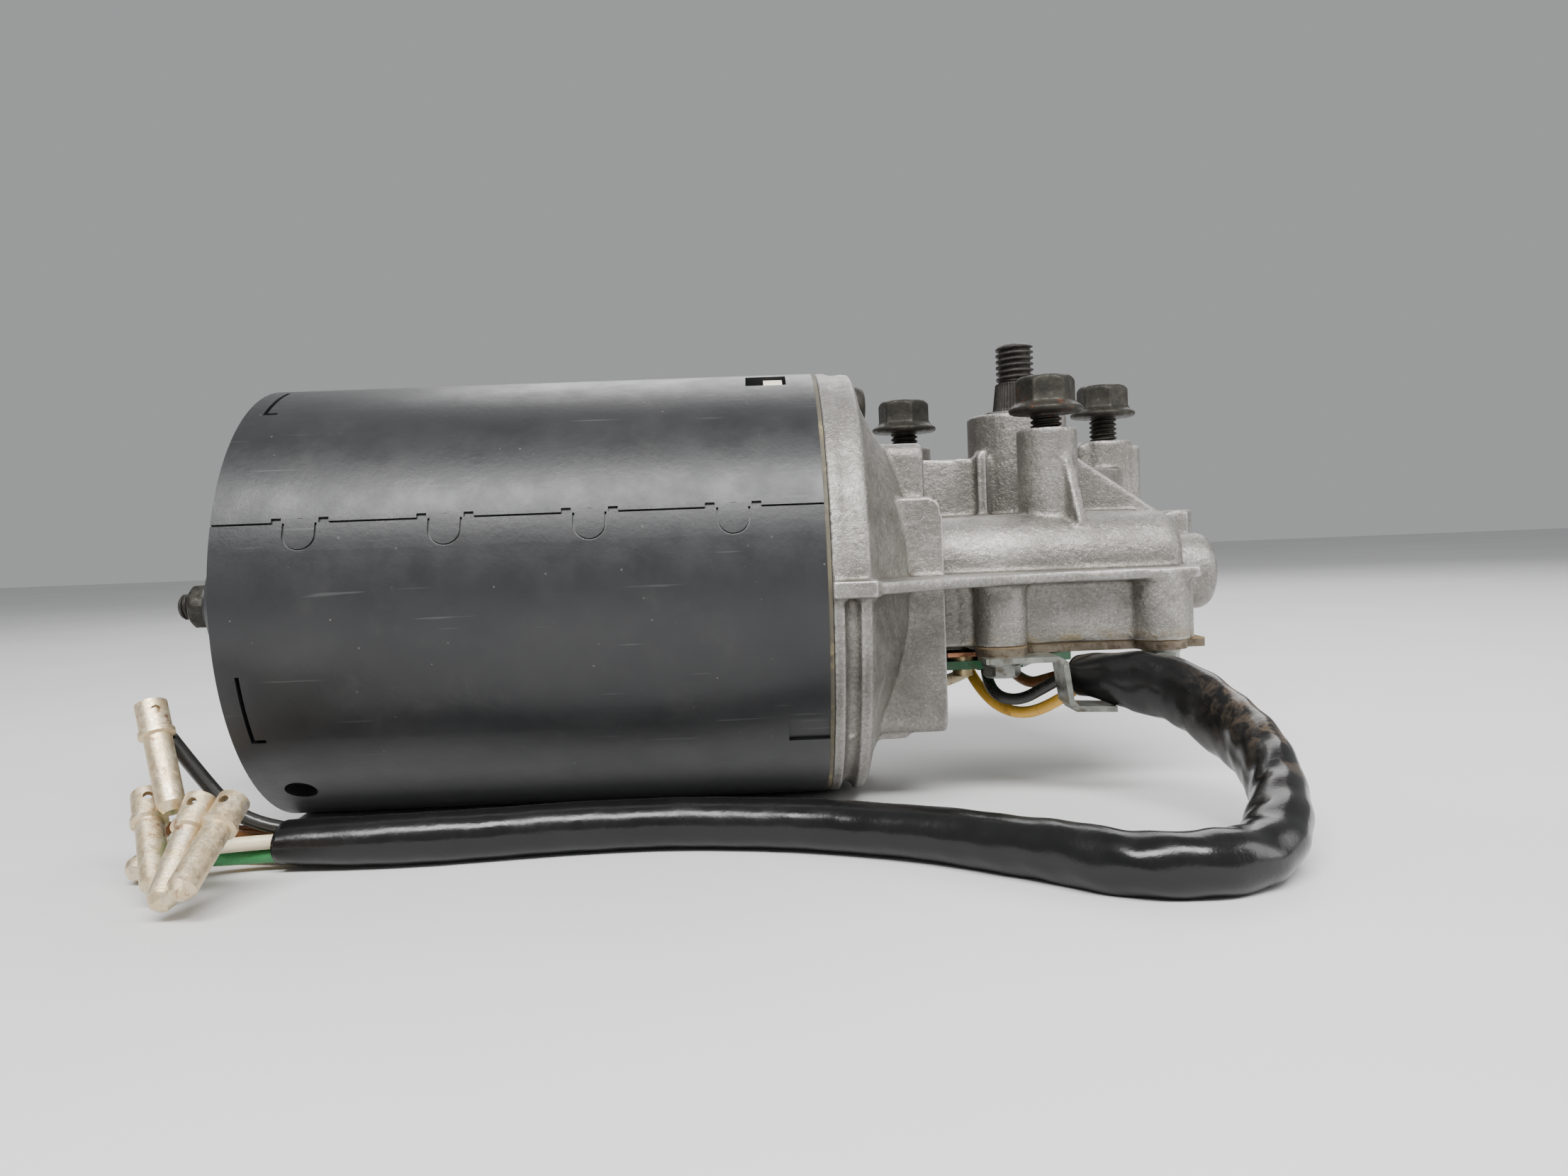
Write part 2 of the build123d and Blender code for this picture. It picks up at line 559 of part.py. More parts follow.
def pan_screw_x(head_x, length, shank_r, head_r, head_t):
    """A cross-slot pan screw along X, its head facing +X."""
    head = fillet(along_x(head_x, head_x + head_t, head_r).edges().group_by(Axis.X)[-1], head_t * 0.55)
    top, reach = head_x + head_t, head_r * 0.5
    slots = [Rot(a, 0, 0) * block(top - 1.1, top + 1, -reach, reach, -0.45, 0.45) for a in (0, 90)]
    return head + along_x(head_x - length, head_x, shank_r) - slots


def housing_screws():
    screw = pan_screw_x(SCREW_SEAT_X, 18.4, SCREW_R, 3.9, 3.6)
    return [Rot(a, 0, 0) * Pos(0, 0, HOUSING_SCREW_R) * screw for a in HOUSING_SCREW_ANGLES]


def end_screw():
    """The small screw in the side wall beside the worm's end."""
    return Pos(0, 16, -9.2) * (along_x(67.2, 72.4, 1.55) + Pos(72.9, 0, 0) * Sphere(1.7))


# ---- the gears and the output shaft ----
def wheel_section():
    """The toothed outline, with a tooth space facing the worm."""
    root, tip = WHEEL_PITCH_R - DEDENDUM, WHEEL_PITCH_R + ADDENDUM
    foot = TOOTH_HALF + DEDENDUM * FLANK_SLOPE
    top = TOOTH_HALF - ADDENDUM * FLANK_SLOPE
    pts = []
    for k in range(WHEEL_TEETH):
        middle = math.radians(-90) + 2 * math.pi * (k + 0.5) / WHEEL_TEETH
        for r, half in ((root, -foot), (tip, -top), (tip, top), (root, foot)):
            a = middle + half / r
            pts.append((r * math.cos(a), r * math.sin(a)))
    return make_face(Polyline(*pts, close=True))


WHEEL_HALF_W = 5.6


def worm_wheel():
    """A moulded wheel whose teeth lean with the worm's lead, on a hub pressed onto the shaft."""
    lean = math.degrees(WORM_LEAD / (2 * math.pi * WORM_PITCH_R) * 2 * WHEEL_HALF_W / WHEEL_PITCH_R)
    section = Rot(0, 0, -lean / 2) * wheel_section()
    rim = Solid.extrude_linear_with_rotation(section.face(), (0, 0, 0), (0, 0, 2 * WHEEL_HALF_W), lean)
    rim = Pos(SHAFT_X, CENTRE_DISTANCE, -WHEEL_HALF_W) * rim
    dish = [turned_z(SHAFT_X, CENTRE_DISTANCE, (9.0, z), (9.0, z + 3), (16.0, z + 3), (16.0, z))
            for z in (-WHEEL_HALF_W - 1.2, WHEEL_HALF_W - 1.8)]
    hub = upright(-WHEEL_HALF_W - 1.0, WHEEL_HALF_W + 1.6, 8.6, SHAFT_X, CENTRE_DISTANCE)
    bore = upright(-9, 9, OUTPUT_R, SHAFT_X, CENTRE_DISTANCE)
    return rim + hub - dish - bore


def park_contact_disc():
    """The notched ring under the wheel that the park switch's fingers ride on."""
    z = -WHEEL_HALF_W - 0.6
    ring = turned_z(SHAFT_X, CENTRE_DISTANCE, (10.5, z), (18.0, z), (18.0, z + 0.6), (10.5, z + 0.6))
    notch = slab(z - 1, z + 1, (SHAFT_X, CENTRE_DISTANCE), (SHAFT_X + 22, CENTRE_DISTANCE + 7),
                 (SHAFT_X + 22, CENTRE_DISTANCE + 16))
    outer = notch - upright(z - 2, z + 2, 14.2, SHAFT_X, CENTRE_DISTANCE)
    return ring - outer


KNURL_Z = (33.9, 40.1)
THREAD_TOP = 48.2


def output_shaft():
    r = OUTPUT_R
    return turned_z(SHAFT_X, CENTRE_DISTANCE, (0, -8.0), (r - 0.5, -8.0), (r, -7.5), (r, BOSS_TOP + 0.1),
                    (r - 0.35, BOSS_TOP + 0.1), (r - 0.35, KNURL_Z[0]), (4.9, KNURL_Z[0]), (4.45, KNURL_Z[1]),
                    (OUTPUT_THREAD_R, KNURL_Z[1]), (OUTPUT_THREAD_R, THREAD_TOP - 0.5),
                    (OUTPUT_THREAD_R - 0.5, THREAD_TOP), (0, THREAD_TOP))


def output_circlip():
    ring = turned_z(SHAFT_X, CENTRE_DISTANCE, (OUTPUT_R - 0.35, BOSS_TOP + 0.15), (6.6, BOSS_TOP + 0.15),
                    (6.6, KNURL_Z[0] - 0.05), (OUTPUT_R - 0.35, KNURL_Z[0] - 0.05))
    return ring - block(SHAFT_X - 1.4, SHAFT_X + 1.4, CENTRE_DISTANCE + 2, CENTRE_DISTANCE + 8, 30, 40)


def output_shim():
    top = WHEEL_HALF_W + 1.6
    return turned_z(SHAFT_X, CENTRE_DISTANCE, (OUTPUT_R, top), (8.2, top), (8.2, CHAMBER_TOP - 0.3),
                    (OUTPUT_R, CHAMBER_TOP - 0.3))


# ---- the cover, the park switch and the clamp ----
def cover_outline(z0, z1):
    """The shared outline of the gear cover and its gasket."""
    parts = upright(z0, z1, CHAMBER_R + 2.6, SHAFT_X, CENTRE_DISTANCE)
    parts += block(29.2, 70.4, -14.8, 20, z0, z1)
    for x, y in (CLAMP_SCREW,) + COVER_SCREWS:
        parts += upright(z0, z1, COVER_BOSS_R, x, y)
    for x, y in (CLAMP_SCREW,) + COVER_SCREWS:
        parts -= upright(z0 - 1, z1 + 1, 2.1, x, y)
    return parts - block(15, 22.3, -10, 50, z0 - 1, z1 + 1)


def gear_cover_plate():
    top = HOUSING_BOTTOM - GASKET_T
    window = block(34, 44, 8, 16, top - 5, top + 5)
    pips = [upright(top - 3, top + 1, 1.15, x, y) for x, y in RIVETS[1:]]
    dimple = upright(top - PLATE_T - 0.5, top, 9, SHAFT_X + 4, CENTRE_DISTANCE + 6)
    return cover_outline(top - PLATE_T, top) + dimple - window - pips


def cover_gasket():
    ring = cover_outline(HOUSING_BOTTOM - GASKET_T, HOUSING_BOTTOM)
    return ring - upright(-20, 0, CHAMBER_R - 0.4, SHAFT_X, CENTRE_DISTANCE) - block(31, 58, -9.5, 6, -20, 0)


RIVETS = ((27.0, -6.4), (33.0, 2.0), (33.0, 18.5), (47.0, 18.5))
BOARD_TOP = -15.6
BOARD_T = 1.6


def switch_board():
    board = slab(BOARD_TOP - BOARD_T, BOARD_TOP, (23.6, -8.6), (38.0, -8.6), (41.0, -3.0), (50.0, 2.0),
                 (50.0, 22.0), (29.0, 22.0), (23.6, 12.0))
    holes = [upright(-20, -10, 1.15, x, y) for x, y in RIVETS]
    return board - holes - block(35, 43, 9, 15, -20, -10)


def contact_rivets():
    """Headed rivets through the board; three of them also hold it to the cover."""
    rivets = []
    for k, (x, y) in enumerate(RIVETS):
        top = PLATE_BOTTOM + 0.6 if k else BOARD_TOP + 1.0
        shank = upright(BOARD_TOP - BOARD_T - 0.3, top, 1.1, x, y)
        foot = upright(BOARD_TOP - BOARD_T - 1.3, BOARD_TOP - BOARD_T, 1.9, x, y)
        collar = upright(BOARD_TOP, BOARD_TOP + 0.9, 2.0, x, y)
        rivets.append(shank + foot + collar)
    return rivets


def contact_lug():
    """The brass tag under the first rivet, where a motor lead is joined."""
    x, y = RIVETS[0]
    tag = block(x - 3.2, x + 3.6, y - 3.0, y + 2.8, BOARD_TOP + 0.9, BOARD_TOP + 1.7)
    return tag - upright(-20, 0, 1.1, x, y)


def park_contacts():
    """Three sprung fingers that reach up through the cover's window to the ring under the wheel."""
    z_low, z_high = BOARD_TOP - BOARD_T - 0.35, -WHEEL_HALF_W - 0.9
    fingers = []
    for k in range(3):
        y = 10.3 + 1.9 * k
        outline = [(30.5, z_low), (36.2, z_low), (41.2, z_high), (42.4, z_high - 1.2), (42.1, z_high - 1.5),
                   (41.1, z_high - 0.55), (36.5, z_low - 0.35), (30.5, z_low - 0.35)]
        fingers.append(upright_rib(y - 0.5, y + 0.5, *outline))
    return fingers


def hex_screw_down(x, y, seat_z, length, shank_r, across, head_t, washer_r, washer_t):
    """A hexagon screw put in from below, with its washer face against the seat."""
    head = Pos(x, y, seat_z - head_t - washer_t) * extrude(hexagon(across), head_t)
    dome = turned_z(x, y, (0, seat_z - head_t - washer_t), (across * 0.47, seat_z - head_t - washer_t),
                    (across * 0.6, seat_z - head_t - washer_t + 0.7), (across * 0.6, seat_z), (0, seat_z))
    washer = upright(seat_z - washer_t, seat_z, washer_r, x, y)
    shank = upright(seat_z - 0.1, seat_z + length, shank_r, x, y)
    return (head & dome) + washer + shank


def cover_screws():
    return [hex_screw_down(x, y, PLATE_BOTTOM, 9.0, 1.68, 6.0, 2.4, 3.5, 0.6) for x, y in COVER_SCREWS]


STRIP_T = 1.0
CLAMP_SEAT = PLATE_BOTTOM - STRIP_T


def clamp_screw():
    x, y = CLAMP_SCREW
    return hex_screw_down(x, y, CLAMP_SEAT, 10.0, 1.68, 6.0, 2.2, 3.6, 0.8)


def cable_clamp():
    """A bent strip: flat under its screw, down past the end of the sleeve and along under it."""
    z = PLATE_BOTTOM
    low = SLEEVE_START[2] - SLEEVE_R - 0.45
    outline = [(28.4, z), (41.4, z), (43.0, z - 1.0), (43.9, low + 0.9), (44.8, low), (51.5, low - 0.3),
               (51.5, low - 1.3), (44.2, low - 1.0), (43.0, low + 0.4), (42.0, z - 1.4), (41.0, z - 1.0),
               (28.4, z - 1.0)]
    strip = upright_rib(CLAMP_SCREW[1] - 6.8, CLAMP_SCREW[1] + 1.2, *outline)
    hole = upright(z - 2, z + 1, 2.1, *CLAMP_SCREW)
    return strip - hole


# ---- the mounting bolts ----
def mounting_bolt(x, y, lift):
    """An M6 flange bolt, part screwed out: its engaged threads run at their core size inside the boss."""
    seat = MOUNT_Z + lift
    top = seat + BOLT_HEAD_T
    head = Pos(x, y, seat + 1.0) * extrude(hexagon(10), BOLT_HEAD_T - 1.0)
    crown = turned_z(x, y, (0, seat + 1.0), (6.0, seat + 1.0), (6.0, top - 0.7), (4.9, top), (0, top))
    flange = turned_z(x, y, (0, seat), (6.6, seat), (7.1, seat + 0.5), (7.1, seat + 1.1), (5.2, seat + 2.6),
                      (0, seat + 2.6))
    shank = upright(MOUNT_Z, seat + 0.1, BOLT_R, x, y)
    core = turned_z(x, y, (0, MOUNT_Z - 12), (2.0, MOUNT_Z - 12), (BOLT_R - 0.4, MOUNT_Z - 11.2),
                    (BOLT_R - 0.4, MOUNT_Z), (0, MOUNT_Z))
    return (head & crown) + flange + shank + core


def mounting_bolts():
    return [mounting_bolt(*on_circle(a), lift) for a, lift in zip(BOLT_ANGLES, BOLT_LIFTS)]


# ---- the cable: a sleeve with five wires, each with a bullet terminal ----
# The sleeve leaves the clamp, drops to the floor in one open loop and lies along the yoke's foot.
SLEEVE_START = (47.2, -14.8, -18.4)
SLEEVE_END = (-86.8, -44.2, -35.9)
SLEEVE_ROUTE = (SLEEVE_START, (52.4, -22.0, -17.9), (60.8, -29.9, -20.1), (65.6, -41.2, -25.1),
                (65.7, -53.4, -29.4), (62.2, -65.0, -33.9), (55.2, -74.6, -35.9), (46.0, -79.6, -35.9),
                (35.8, -76.6, -35.9), (26.4, -67.2, -35.9), (14.0, -56.6, -35.9), (-1.0, -48.6, -35.9),
                (-17.0, -43.4, -35.9), (-34.0, -41.6, -35.9), (-52.0, -43.6, -35.9), (-70.0, -46.4, -35.9),
                SLEEVE_END)

# Five wires fan out of the sleeve's end; each is soldered to the collar of its own terminal.
WIRES = {
    "wire_black": ((-86.8, -44.2, -33.8), (-93.7, -43.5, -32.6), (-98.0, -45.6, -26.0),
                   (-100.9, -50.2, -17.9)),
    "wire_cream": ((-87.06, -46.2, -35.25), (-91.5, -46.5, -35.3), (-96.2, -50.3, -34.8),
                   (-95.3, -56.5, -33.3), (-90.2, -61.0, -31.3)),
    "wire_green": ((-86.96, -45.4, -37.6), (-95.5, -45.4, -37.8), (-100.2, -52.5, -36.0),
                   (-95.8, -60.0, -30.9)),
    "wire_brown": ((-86.54, -42.2, -35.25), (-94.5, -41.4, -34.8), (-101.0, -45.5, -33.0),
                   (-102.6, -53.2, -30.9)),
    "wire_yellow": ((-86.64, -43.0, -37.6), (-92.5, -41.8, -38.2), (-98.3, -39.9, -38.0),
                    (-103.9, -39.2, -36.7)),
}
# Each terminal's open end and its nose.
BULLETS = (
    ((-103.6, -50.0, -12.7), (-97.8, -57.0, -27.5)),
    ((-103.9, -52.0, -26.1), (-97.1, -64.4, -37.9)),
    ((-93.2, -57.7, -26.0), (-93.5, -71.1, -37.9)),
    ((-88.4, -58.0, -26.3), (-89.9, -73.2, -35.8)),
    ((-106.0, -34.0, -35.5), (-107.0, -51.6, -37.9)),
)
# Short leads between the sleeve, the switch board and the motor.
LEADS = {
    "lead_black": ((46.3, -15.7, -17.2), (42.6, -10.4, -20.4), (36.6, -9.8, -23.6), (31.8, -7.2, -21.9),
                   (32.4, -1.8, -18.35)),
    "lead_yellow": ((47.2, -14.8, -20.2), (42.6, -10.6, -24.6), (36.6, -7.2, -26.4), (31.6, -1.4, -23.2),
                    (30.0, 5.4, -18.35)),
    "lead_brown": ((48.3, -13.7, -17.2), (43.6, -8.4, -19.4), (39.4, -3.6, -21.2),
                   (37.8, 2.6, -18.35)),
    "lead_cream": ((19.6, -5.0, -20.4), (24.2, -3.0, -20.2), (28.4, -1.8, -18.4)),
}


def bullet(rear, nose):
    """A turned terminal with a collar, a solder hole in its barrel and a rounded pin."""
    r, end = BULLET_R, BULLET_LENGTH
    axis = Vector(*nose) - Vector(*rear)
    profile = ((0, 0), (2.3, 0), (2.3, 4.4), (2.6, 4.6), (2.6, 5.3), (r, 5.6), (r, end - 1.6),
               (r * 0.6, end - 0.3), (0, end))
    solder_hole = Pos(0, 0, 1.9) * Rot(90, 0, 0) * Cylinder(0.7, 10)
    body = turned_z(0, 0, *profile) - upright(-1, 3.4, 1.5) - solder_hole
    return Plane(origin=rear, x_dir=axis.cross(Vector(0, 0, 1)), z_dir=axis) * body


def main():
    os.makedirs("parts", exist_ok=True)
    save("yoke_tube", yoke())
    save("rear_end_cover", rear_end_cover())
    save("rear_bearing", rear_bearing())
    save("rear_bearing_clip", rear_bearing_clip())
    save("end_float_screw", end_float_screw())
    save("end_float_lock_nut", end_float_lock_nut())
    save("field_magnets", *field_magnets())
    save("magnet_clips", *magnet_clips())
    save("brush_plate", brush_plate())
    save("brush_holders", *[brush_holder(a) for a in BRUSH_ANGLES])
    save("carbon_brushes", *[carbon_brush(a) for a in BRUSH_ANGLES])
    save("brush_springs", *[brush_spring(a) for a in BRUSH_ANGLES])
    save("armature_shaft", armature_shaft())
    save("armature_core", armature_core())
    save("armature_windings", armature_windings())
    save("commutator_bars", commutator())
    save("commutator_hub", commutator_hub())
    save("thrust_washers", *thrust_washers())
    save("front_bearing", front_bearing())
    save("worm_end_bush", worm_end_bush())
    save("thrust_ball", thrust_ball())
    save("output_bush", output_bush())
    save("output_seal_ring", output_seal_ring())
    save("gear_housing", gear_housing())
    save("flange_seal", flange_seal())
    save("housing_screws", *housing_screws())
    save("end_screw", end_screw())
    save("worm_wheel", worm_wheel())
    save("park_contact_disc", park_contact_disc())
    save("output_shaft", output_shaft())
    save("output_circlip", output_circlip())
    save("output_shim", output_shim())
    save("gear_cover_plate", gear_cover_plate())
    save("cover_gasket", cover_gasket())
    save("cover_screws", *cover_screws())
    save("switch_board", switch_board())
    save("contact_rivets", *contact_rivets())
    save("contact_lug", contact_lug())
    save("park_contacts", *park_contacts())
    save("cable_clamp", cable_clamp())
    save("clamp_screw", clamp_screw())
    save("mounting_bolts", *mounting_bolts())
    save("cable_sleeve", tube(SLEEVE_ROUTE, SLEEVE_R, "cable_sleeve"))
    for name, route in WIRES.items():
        save(name, tube(route, WIRE_R, name))
    for name, route in LEADS.items():
        save(name, tube(route, LEAD_R, name))
    save("bullet_terminals", *[bullet(rear, nose) for rear, nose in BULLETS])


if __name__ == "__main__":
    main()
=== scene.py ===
import math

import bpy
import numpy as np
from mathutils import Matrix, Vector


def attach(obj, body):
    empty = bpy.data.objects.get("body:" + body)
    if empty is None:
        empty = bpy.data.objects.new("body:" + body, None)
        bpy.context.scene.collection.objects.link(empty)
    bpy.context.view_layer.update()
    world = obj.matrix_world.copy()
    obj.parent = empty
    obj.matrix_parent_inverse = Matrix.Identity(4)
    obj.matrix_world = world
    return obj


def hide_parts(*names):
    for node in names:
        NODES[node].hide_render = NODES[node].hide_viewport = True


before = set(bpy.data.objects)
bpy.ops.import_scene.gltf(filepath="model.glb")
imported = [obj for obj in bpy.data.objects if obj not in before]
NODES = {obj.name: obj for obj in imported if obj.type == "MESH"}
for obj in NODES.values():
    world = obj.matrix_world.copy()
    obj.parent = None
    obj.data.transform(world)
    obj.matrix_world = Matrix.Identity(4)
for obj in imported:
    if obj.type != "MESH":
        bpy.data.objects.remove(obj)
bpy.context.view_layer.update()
MM = 0.001
MM_PER_M = 1000.0
FLOOR_Z = -0.0679


# ---- camera ----
def make_camera():
    """A camera at the height of the motor, level with its long side and turned a little to the right."""
    right = Vector((0.99901, -0.02311, -0.03796))
    forward = Vector((0.02159, 0.99897, -0.03997))
    up = Vector((0.03885, 0.03911, 0.99848))
    data = bpy.data.cameras.new("camera")
    data.sensor_width = 36.0
    data.lens = 27.24
    data.clip_start = 0.01
    cam = bpy.data.objects.new("camera", data)
    turn = Matrix((right, up, -forward)).transposed().to_4x4()
    cam.matrix_world = Matrix.Translation((-0.05663, -0.25455, -0.0195)) @ turn
    bpy.context.scene.collection.objects.link(cam)
    bpy.context.scene.camera = cam


make_camera()


# ---- material building ----
class Finish:
    """One procedural material; its textures are laid out in millimetres of the piece's own space."""

    def __init__(self, name, metallic=0.0, coat=0.0, coat_roughness=0.1, specular=0.5):
        self.material = bpy.data.materials.new(name)
        self.material.use_nodes = True
        self.tree = self.material.node_tree
        self.shader = self.tree.nodes["Principled BSDF"]
        self.shader.inputs["Metallic"].default_value = metallic
        self.shader.inputs["Coat Weight"].default_value = coat
        self.shader.inputs["Coat Roughness"].default_value = coat_roughness
        self.shader.inputs["Specular IOR Level"].default_value = specular
        place = self.add("ShaderNodeTexCoord")
        scale = self.add("ShaderNodeVectorMath", operation="SCALE")
        scale.inputs["Scale"].default_value = MM_PER_M
        self.join(place.outputs["Object"], scale.inputs[0])
        self.where = scale.outputs[0]
        self.last_normal = None

    def add(self, kind, **settings):
        node = self.tree.nodes.new(kind)
        for key, value in settings.items():
            setattr(node, key, value)
        return node

    def join(self, out, into):
        self.tree.links.new(out, into)

    def stretched(self, stretch):
        node = self.add("ShaderNodeVectorMath", operation="MULTIPLY")
        node.inputs[1].default_value = stretch
        self.join(self.where, node.inputs[0])
        return node.outputs[0]

    def noise(self, scale, detail=4.0, rough=0.55, warp=0.0, stretch=None, shift=0.0):
        """Fractal noise, 0 to 1, with scale cells to the millimetre."""
        node = self.add("ShaderNodeTexNoise", noise_dimensions="4D")
        for key, value in (("Scale", scale), ("Detail", detail), ("Roughness", rough), ("Distortion", warp),
                           ("W", shift)):
            node.inputs[key].default_value = value
        self.join(self.stretched(stretch) if stretch else self.where, node.inputs["Vector"])
        return node.outputs["Fac"]

    def cells(self, scale, feature="F1"):
        node = self.add("ShaderNodeTexVoronoi", feature=feature)
        node.inputs["Scale"].default_value = scale
        self.join(self.where, node.inputs["Vector"])
        return node.outputs["Distance"]

    def span(self, value, low, high, start=0.0, end=1.0):
        node = self.add("ShaderNodeMapRange", interpolation_type="SMOOTHSTEP")
        for key, number in zip((1, 2, 3, 4), (low, high, start, end)):
            node.inputs[key].default_value = number
        self.join(value, node.inputs[0])
        return node.outputs[0]

    def times(self, a, b):
        node = self.add("ShaderNodeMath", operation="MULTIPLY")
        for k, value in enumerate((a, b)):
            if isinstance(value, (int, float)):
                node.inputs[k].default_value = value
            else:
                self.join(value, node.inputs[k])
        return node.outputs[0]

    def axis(self, letter):
        node = self.add("ShaderNodeSeparateXYZ")
        self.join(self.where, node.inputs[0])
        return node.outputs[letter]

    def light_by_pointiness(self, low, high):
        """Mask for painted light: 1 on outward edges, 0 on flats, from the mesh's own pointiness."""
        node = self.add("ShaderNodeNewGeometry")
        return self.span(node.outputs["Pointiness"], low, high)

    def ramp(self, value, *stops):
        node = self.add("ShaderNodeValToRGB")
        ramp = node.color_ramp
        while len(ramp.elements) < len(stops):
            ramp.elements.new(0.5)
        for element, (place, colour) in zip(ramp.elements, stops):
            element.position = place
            element.color = (*colour, 1.0)
        self.join(value, node.inputs[0])
        return node.outputs["Color"]

    def mix(self, amount, below, above):
        node = self.add("ShaderNodeMix", data_type="RGBA")
        for k, value in ((0, amount), (6, below), (7, above)):
            if isinstance(value, tuple):
                node.inputs[k].default_value = (*value, 1.0)
            else:
                self.join(value, node.inputs[k])
        return node.outputs[2]

    def colour(self, out):
        self.join(out, self.shader.inputs["Base Color"])

    def rough(self, value, low, high):
        self.join(self.span(value, 0.3, 0.7, low, high), self.shader.inputs["Roughness"])

    def relief(self, value, height_mm):
        node = self.add("ShaderNodeBump")
        node.inputs["Distance"].default_value = height_mm * MM
        self.join(value, node.inputs["Height"])
        if self.last_normal is not None:
            self.join(self.last_normal, node.inputs["Normal"])
        self.last_normal = node.outputs["Normal"]
        self.join(self.last_normal, self.shader.inputs["Normal"])


def black_paint():
    f = Finish("satin_black_paint", specular=0.42, coat=0.12, coat_roughness=0.32)
    base = f.ramp(f.noise(0.05, 5), (0.3, (0.0125, 0.013, 0.0145)), (0.7, (0.02, 0.0202, 0.0212)))
    dust = f.times(f.span(f.noise(0.11, 7, 0.65, 0.6), 0.52, 0.78), 0.35)
    base = f.mix(dust, base, (0.045, 0.044, 0.042))
    speck = f.span(f.cells(0.42), 0.085, 0.05)
    speck = f.times(speck, f.span(f.noise(0.21, 2, shift=4.0), 0.5, 0.62))
    base = f.mix(speck, base, (0.09, 0.085, 0.075))
    scratch = f.span(f.noise(0.9, 2, 0.4, 0.0, (0.06, 1.4, 1.4), 2.0), 0.69, 0.74)
    base = f.mix(f.times(scratch, 0.5), base, (0.07, 0.07, 0.07))
    f.colour(base)
    f.rough(f.noise(0.16, 5, 0.6), 0.34, 0.46)
    f.relief(f.noise(0.9, 3), 0.035)
    f.relief(f.noise(5.0, 2), 0.012)
    return f.material


def cast_aluminium():
    f = Finish("cast_aluminium", metallic=0.85, specular=0.4)
    base = f.ramp(f.noise(0.06, 6, 0.6, 0.3), (0.28, (0.16, 0.15, 0.136)), (0.5, (0.28, 0.268, 0.246)),
                  (0.72, (0.44, 0.422, 0.39)))
    fine = f.span(f.noise(1.6, 5, 0.7), 0.3, 0.7)
    base = f.mix(f.times(fine, 0.55), base, (0.11, 0.103, 0.092))
    grain = f.times(f.span(f.noise(3.0, 3, 0.6, shift=13.0), 0.6, 0.68), 0.5)
    base = f.mix(grain, base, (0.78, 0.76, 0.71))
    grime = f.times(f.span(f.noise(0.13, 8, 0.7, 0.8, shift=3.0), 0.52, 0.7), 0.6)
    base = f.mix(grime, base, (0.17, 0.155, 0.135))
    # Painted shade: the casting's hollows and inner corners are darkened where shade falls.
    hollow_painted_shade = f.times(f.light_by_pointiness(0.49, 0.44), 0.8)
    base = f.mix(hollow_painted_shade, base, (0.1, 0.085, 0.065))
    # Oil has crept up from the cover's gasket.
    low = f.times(f.span(f.axis("Z"), -37.0, -39.8), f.span(f.axis("X"), -21.0, -17.0))
    oil = f.times(low, f.span(f.noise(0.22, 5, 0.6, 0.5, shift=7.0), 0.4, 0.62))
    base = f.mix(f.times(oil, 0.6), base, (0.24, 0.17, 0.06))
    # Painted highlight: the casting's outward edges are lightened where light catches them.
    edge_painted_highlight = f.times(f.light_by_pointiness(0.515, 0.56), 0.55)
    f.colour(f.mix(edge_painted_highlight, base, (0.62, 0.605, 0.58)))
    f.rough(f.noise(0.5, 5, 0.6, shift=1.0), 0.36, 0.58)
    f.relief(f.noise(0.75, 5, 0.62), 0.26)
    f.relief(f.noise(3.4, 3, 0.6), 0.09)
    return f.material


def dark_steel(name, rust_low, rust_high, base_colours=((0.05, 0.044, 0.034), (0.105, 0.092, 0.07))):
    """Phosphated steel with rust where the noise is above rust_low."""
    f = Finish(name, metallic=0.55, specular=0.4)
    base = f.ramp(f.noise(0.5, 5), (0.3, base_colours[0]), (0.7, base_colours[1]))
    edge = f.span(f.noise(1.3, 6, 0.7, shift=11.0), 0.56, 0.7)
    base = f.mix(f.times(edge, 0.5), base, (0.13, 0.113, 0.088))
    tint = f.ramp(f.noise(1.7, 5, 0.7), (0.35, (0.05, 0.02, 0.012)), (0.65, (0.15, 0.05, 0.022)))
    spread = f.span(f.noise(0.42, 6, 0.68, 0.5, shift=6.0), rust_low, rust_high)
    f.colour(f.mix(spread, base, tint))
    f.rough(f.noise(1.1, 4), 0.42, 0.68)
    f.relief(f.noise(2.2, 5, 0.65), 0.07)
    return f.material


def plain_metal(name, low, high, rough=(0.25, 0.42), stain=(0.1, 0.08, 0.06), stain_from=0.58,
                stretch=None, grain=0.02):
    """A bare metal with fine machining marks and patchy tarnish."""
    f = Finish(name, metallic=0.9)
    base = f.ramp(f.noise(0.35, 5), (0.3, low), (0.7, high))
    patch = f.span(f.noise(0.5, 7, 0.68, 0.6, shift=5.0), stain_from, stain_from + 0.14)
    base = f.mix(f.times(patch, 0.8), base, stain)
    f.colour(base)
    f.rough(f.noise(0.8, 4, shift=2.0), *rough)
    f.relief(f.noise(3.0, 4, 0.6, 0.0, stretch), grain)
    return f.material


def terminal_metal():
    """Tinned brass gone gold, silver and reddish brown in patches."""
    f = Finish("tarnished_terminal", metallic=0.82)
    base = f.ramp(f.noise(0.3, 6, 0.6, 0.6), (0.25, (0.62, 0.57, 0.5)), (0.48, (0.66, 0.52, 0.32)),
                  (0.62, (0.74, 0.64, 0.47)), (0.8, (0.5, 0.33, 0.16)))
    rust = f.span(f.noise(0.55, 7, 0.72, 0.9, shift=8.0), 0.55, 0.68)
    base = f.mix(f.times(rust, 0.85), base, (0.23, 0.075, 0.03))
    f.colour(base)
    f.rough(f.noise(1.2, 5, 0.6), 0.3, 0.55)
    f.relief(f.noise(2.5, 5, 0.6), 0.05)
    return f.material


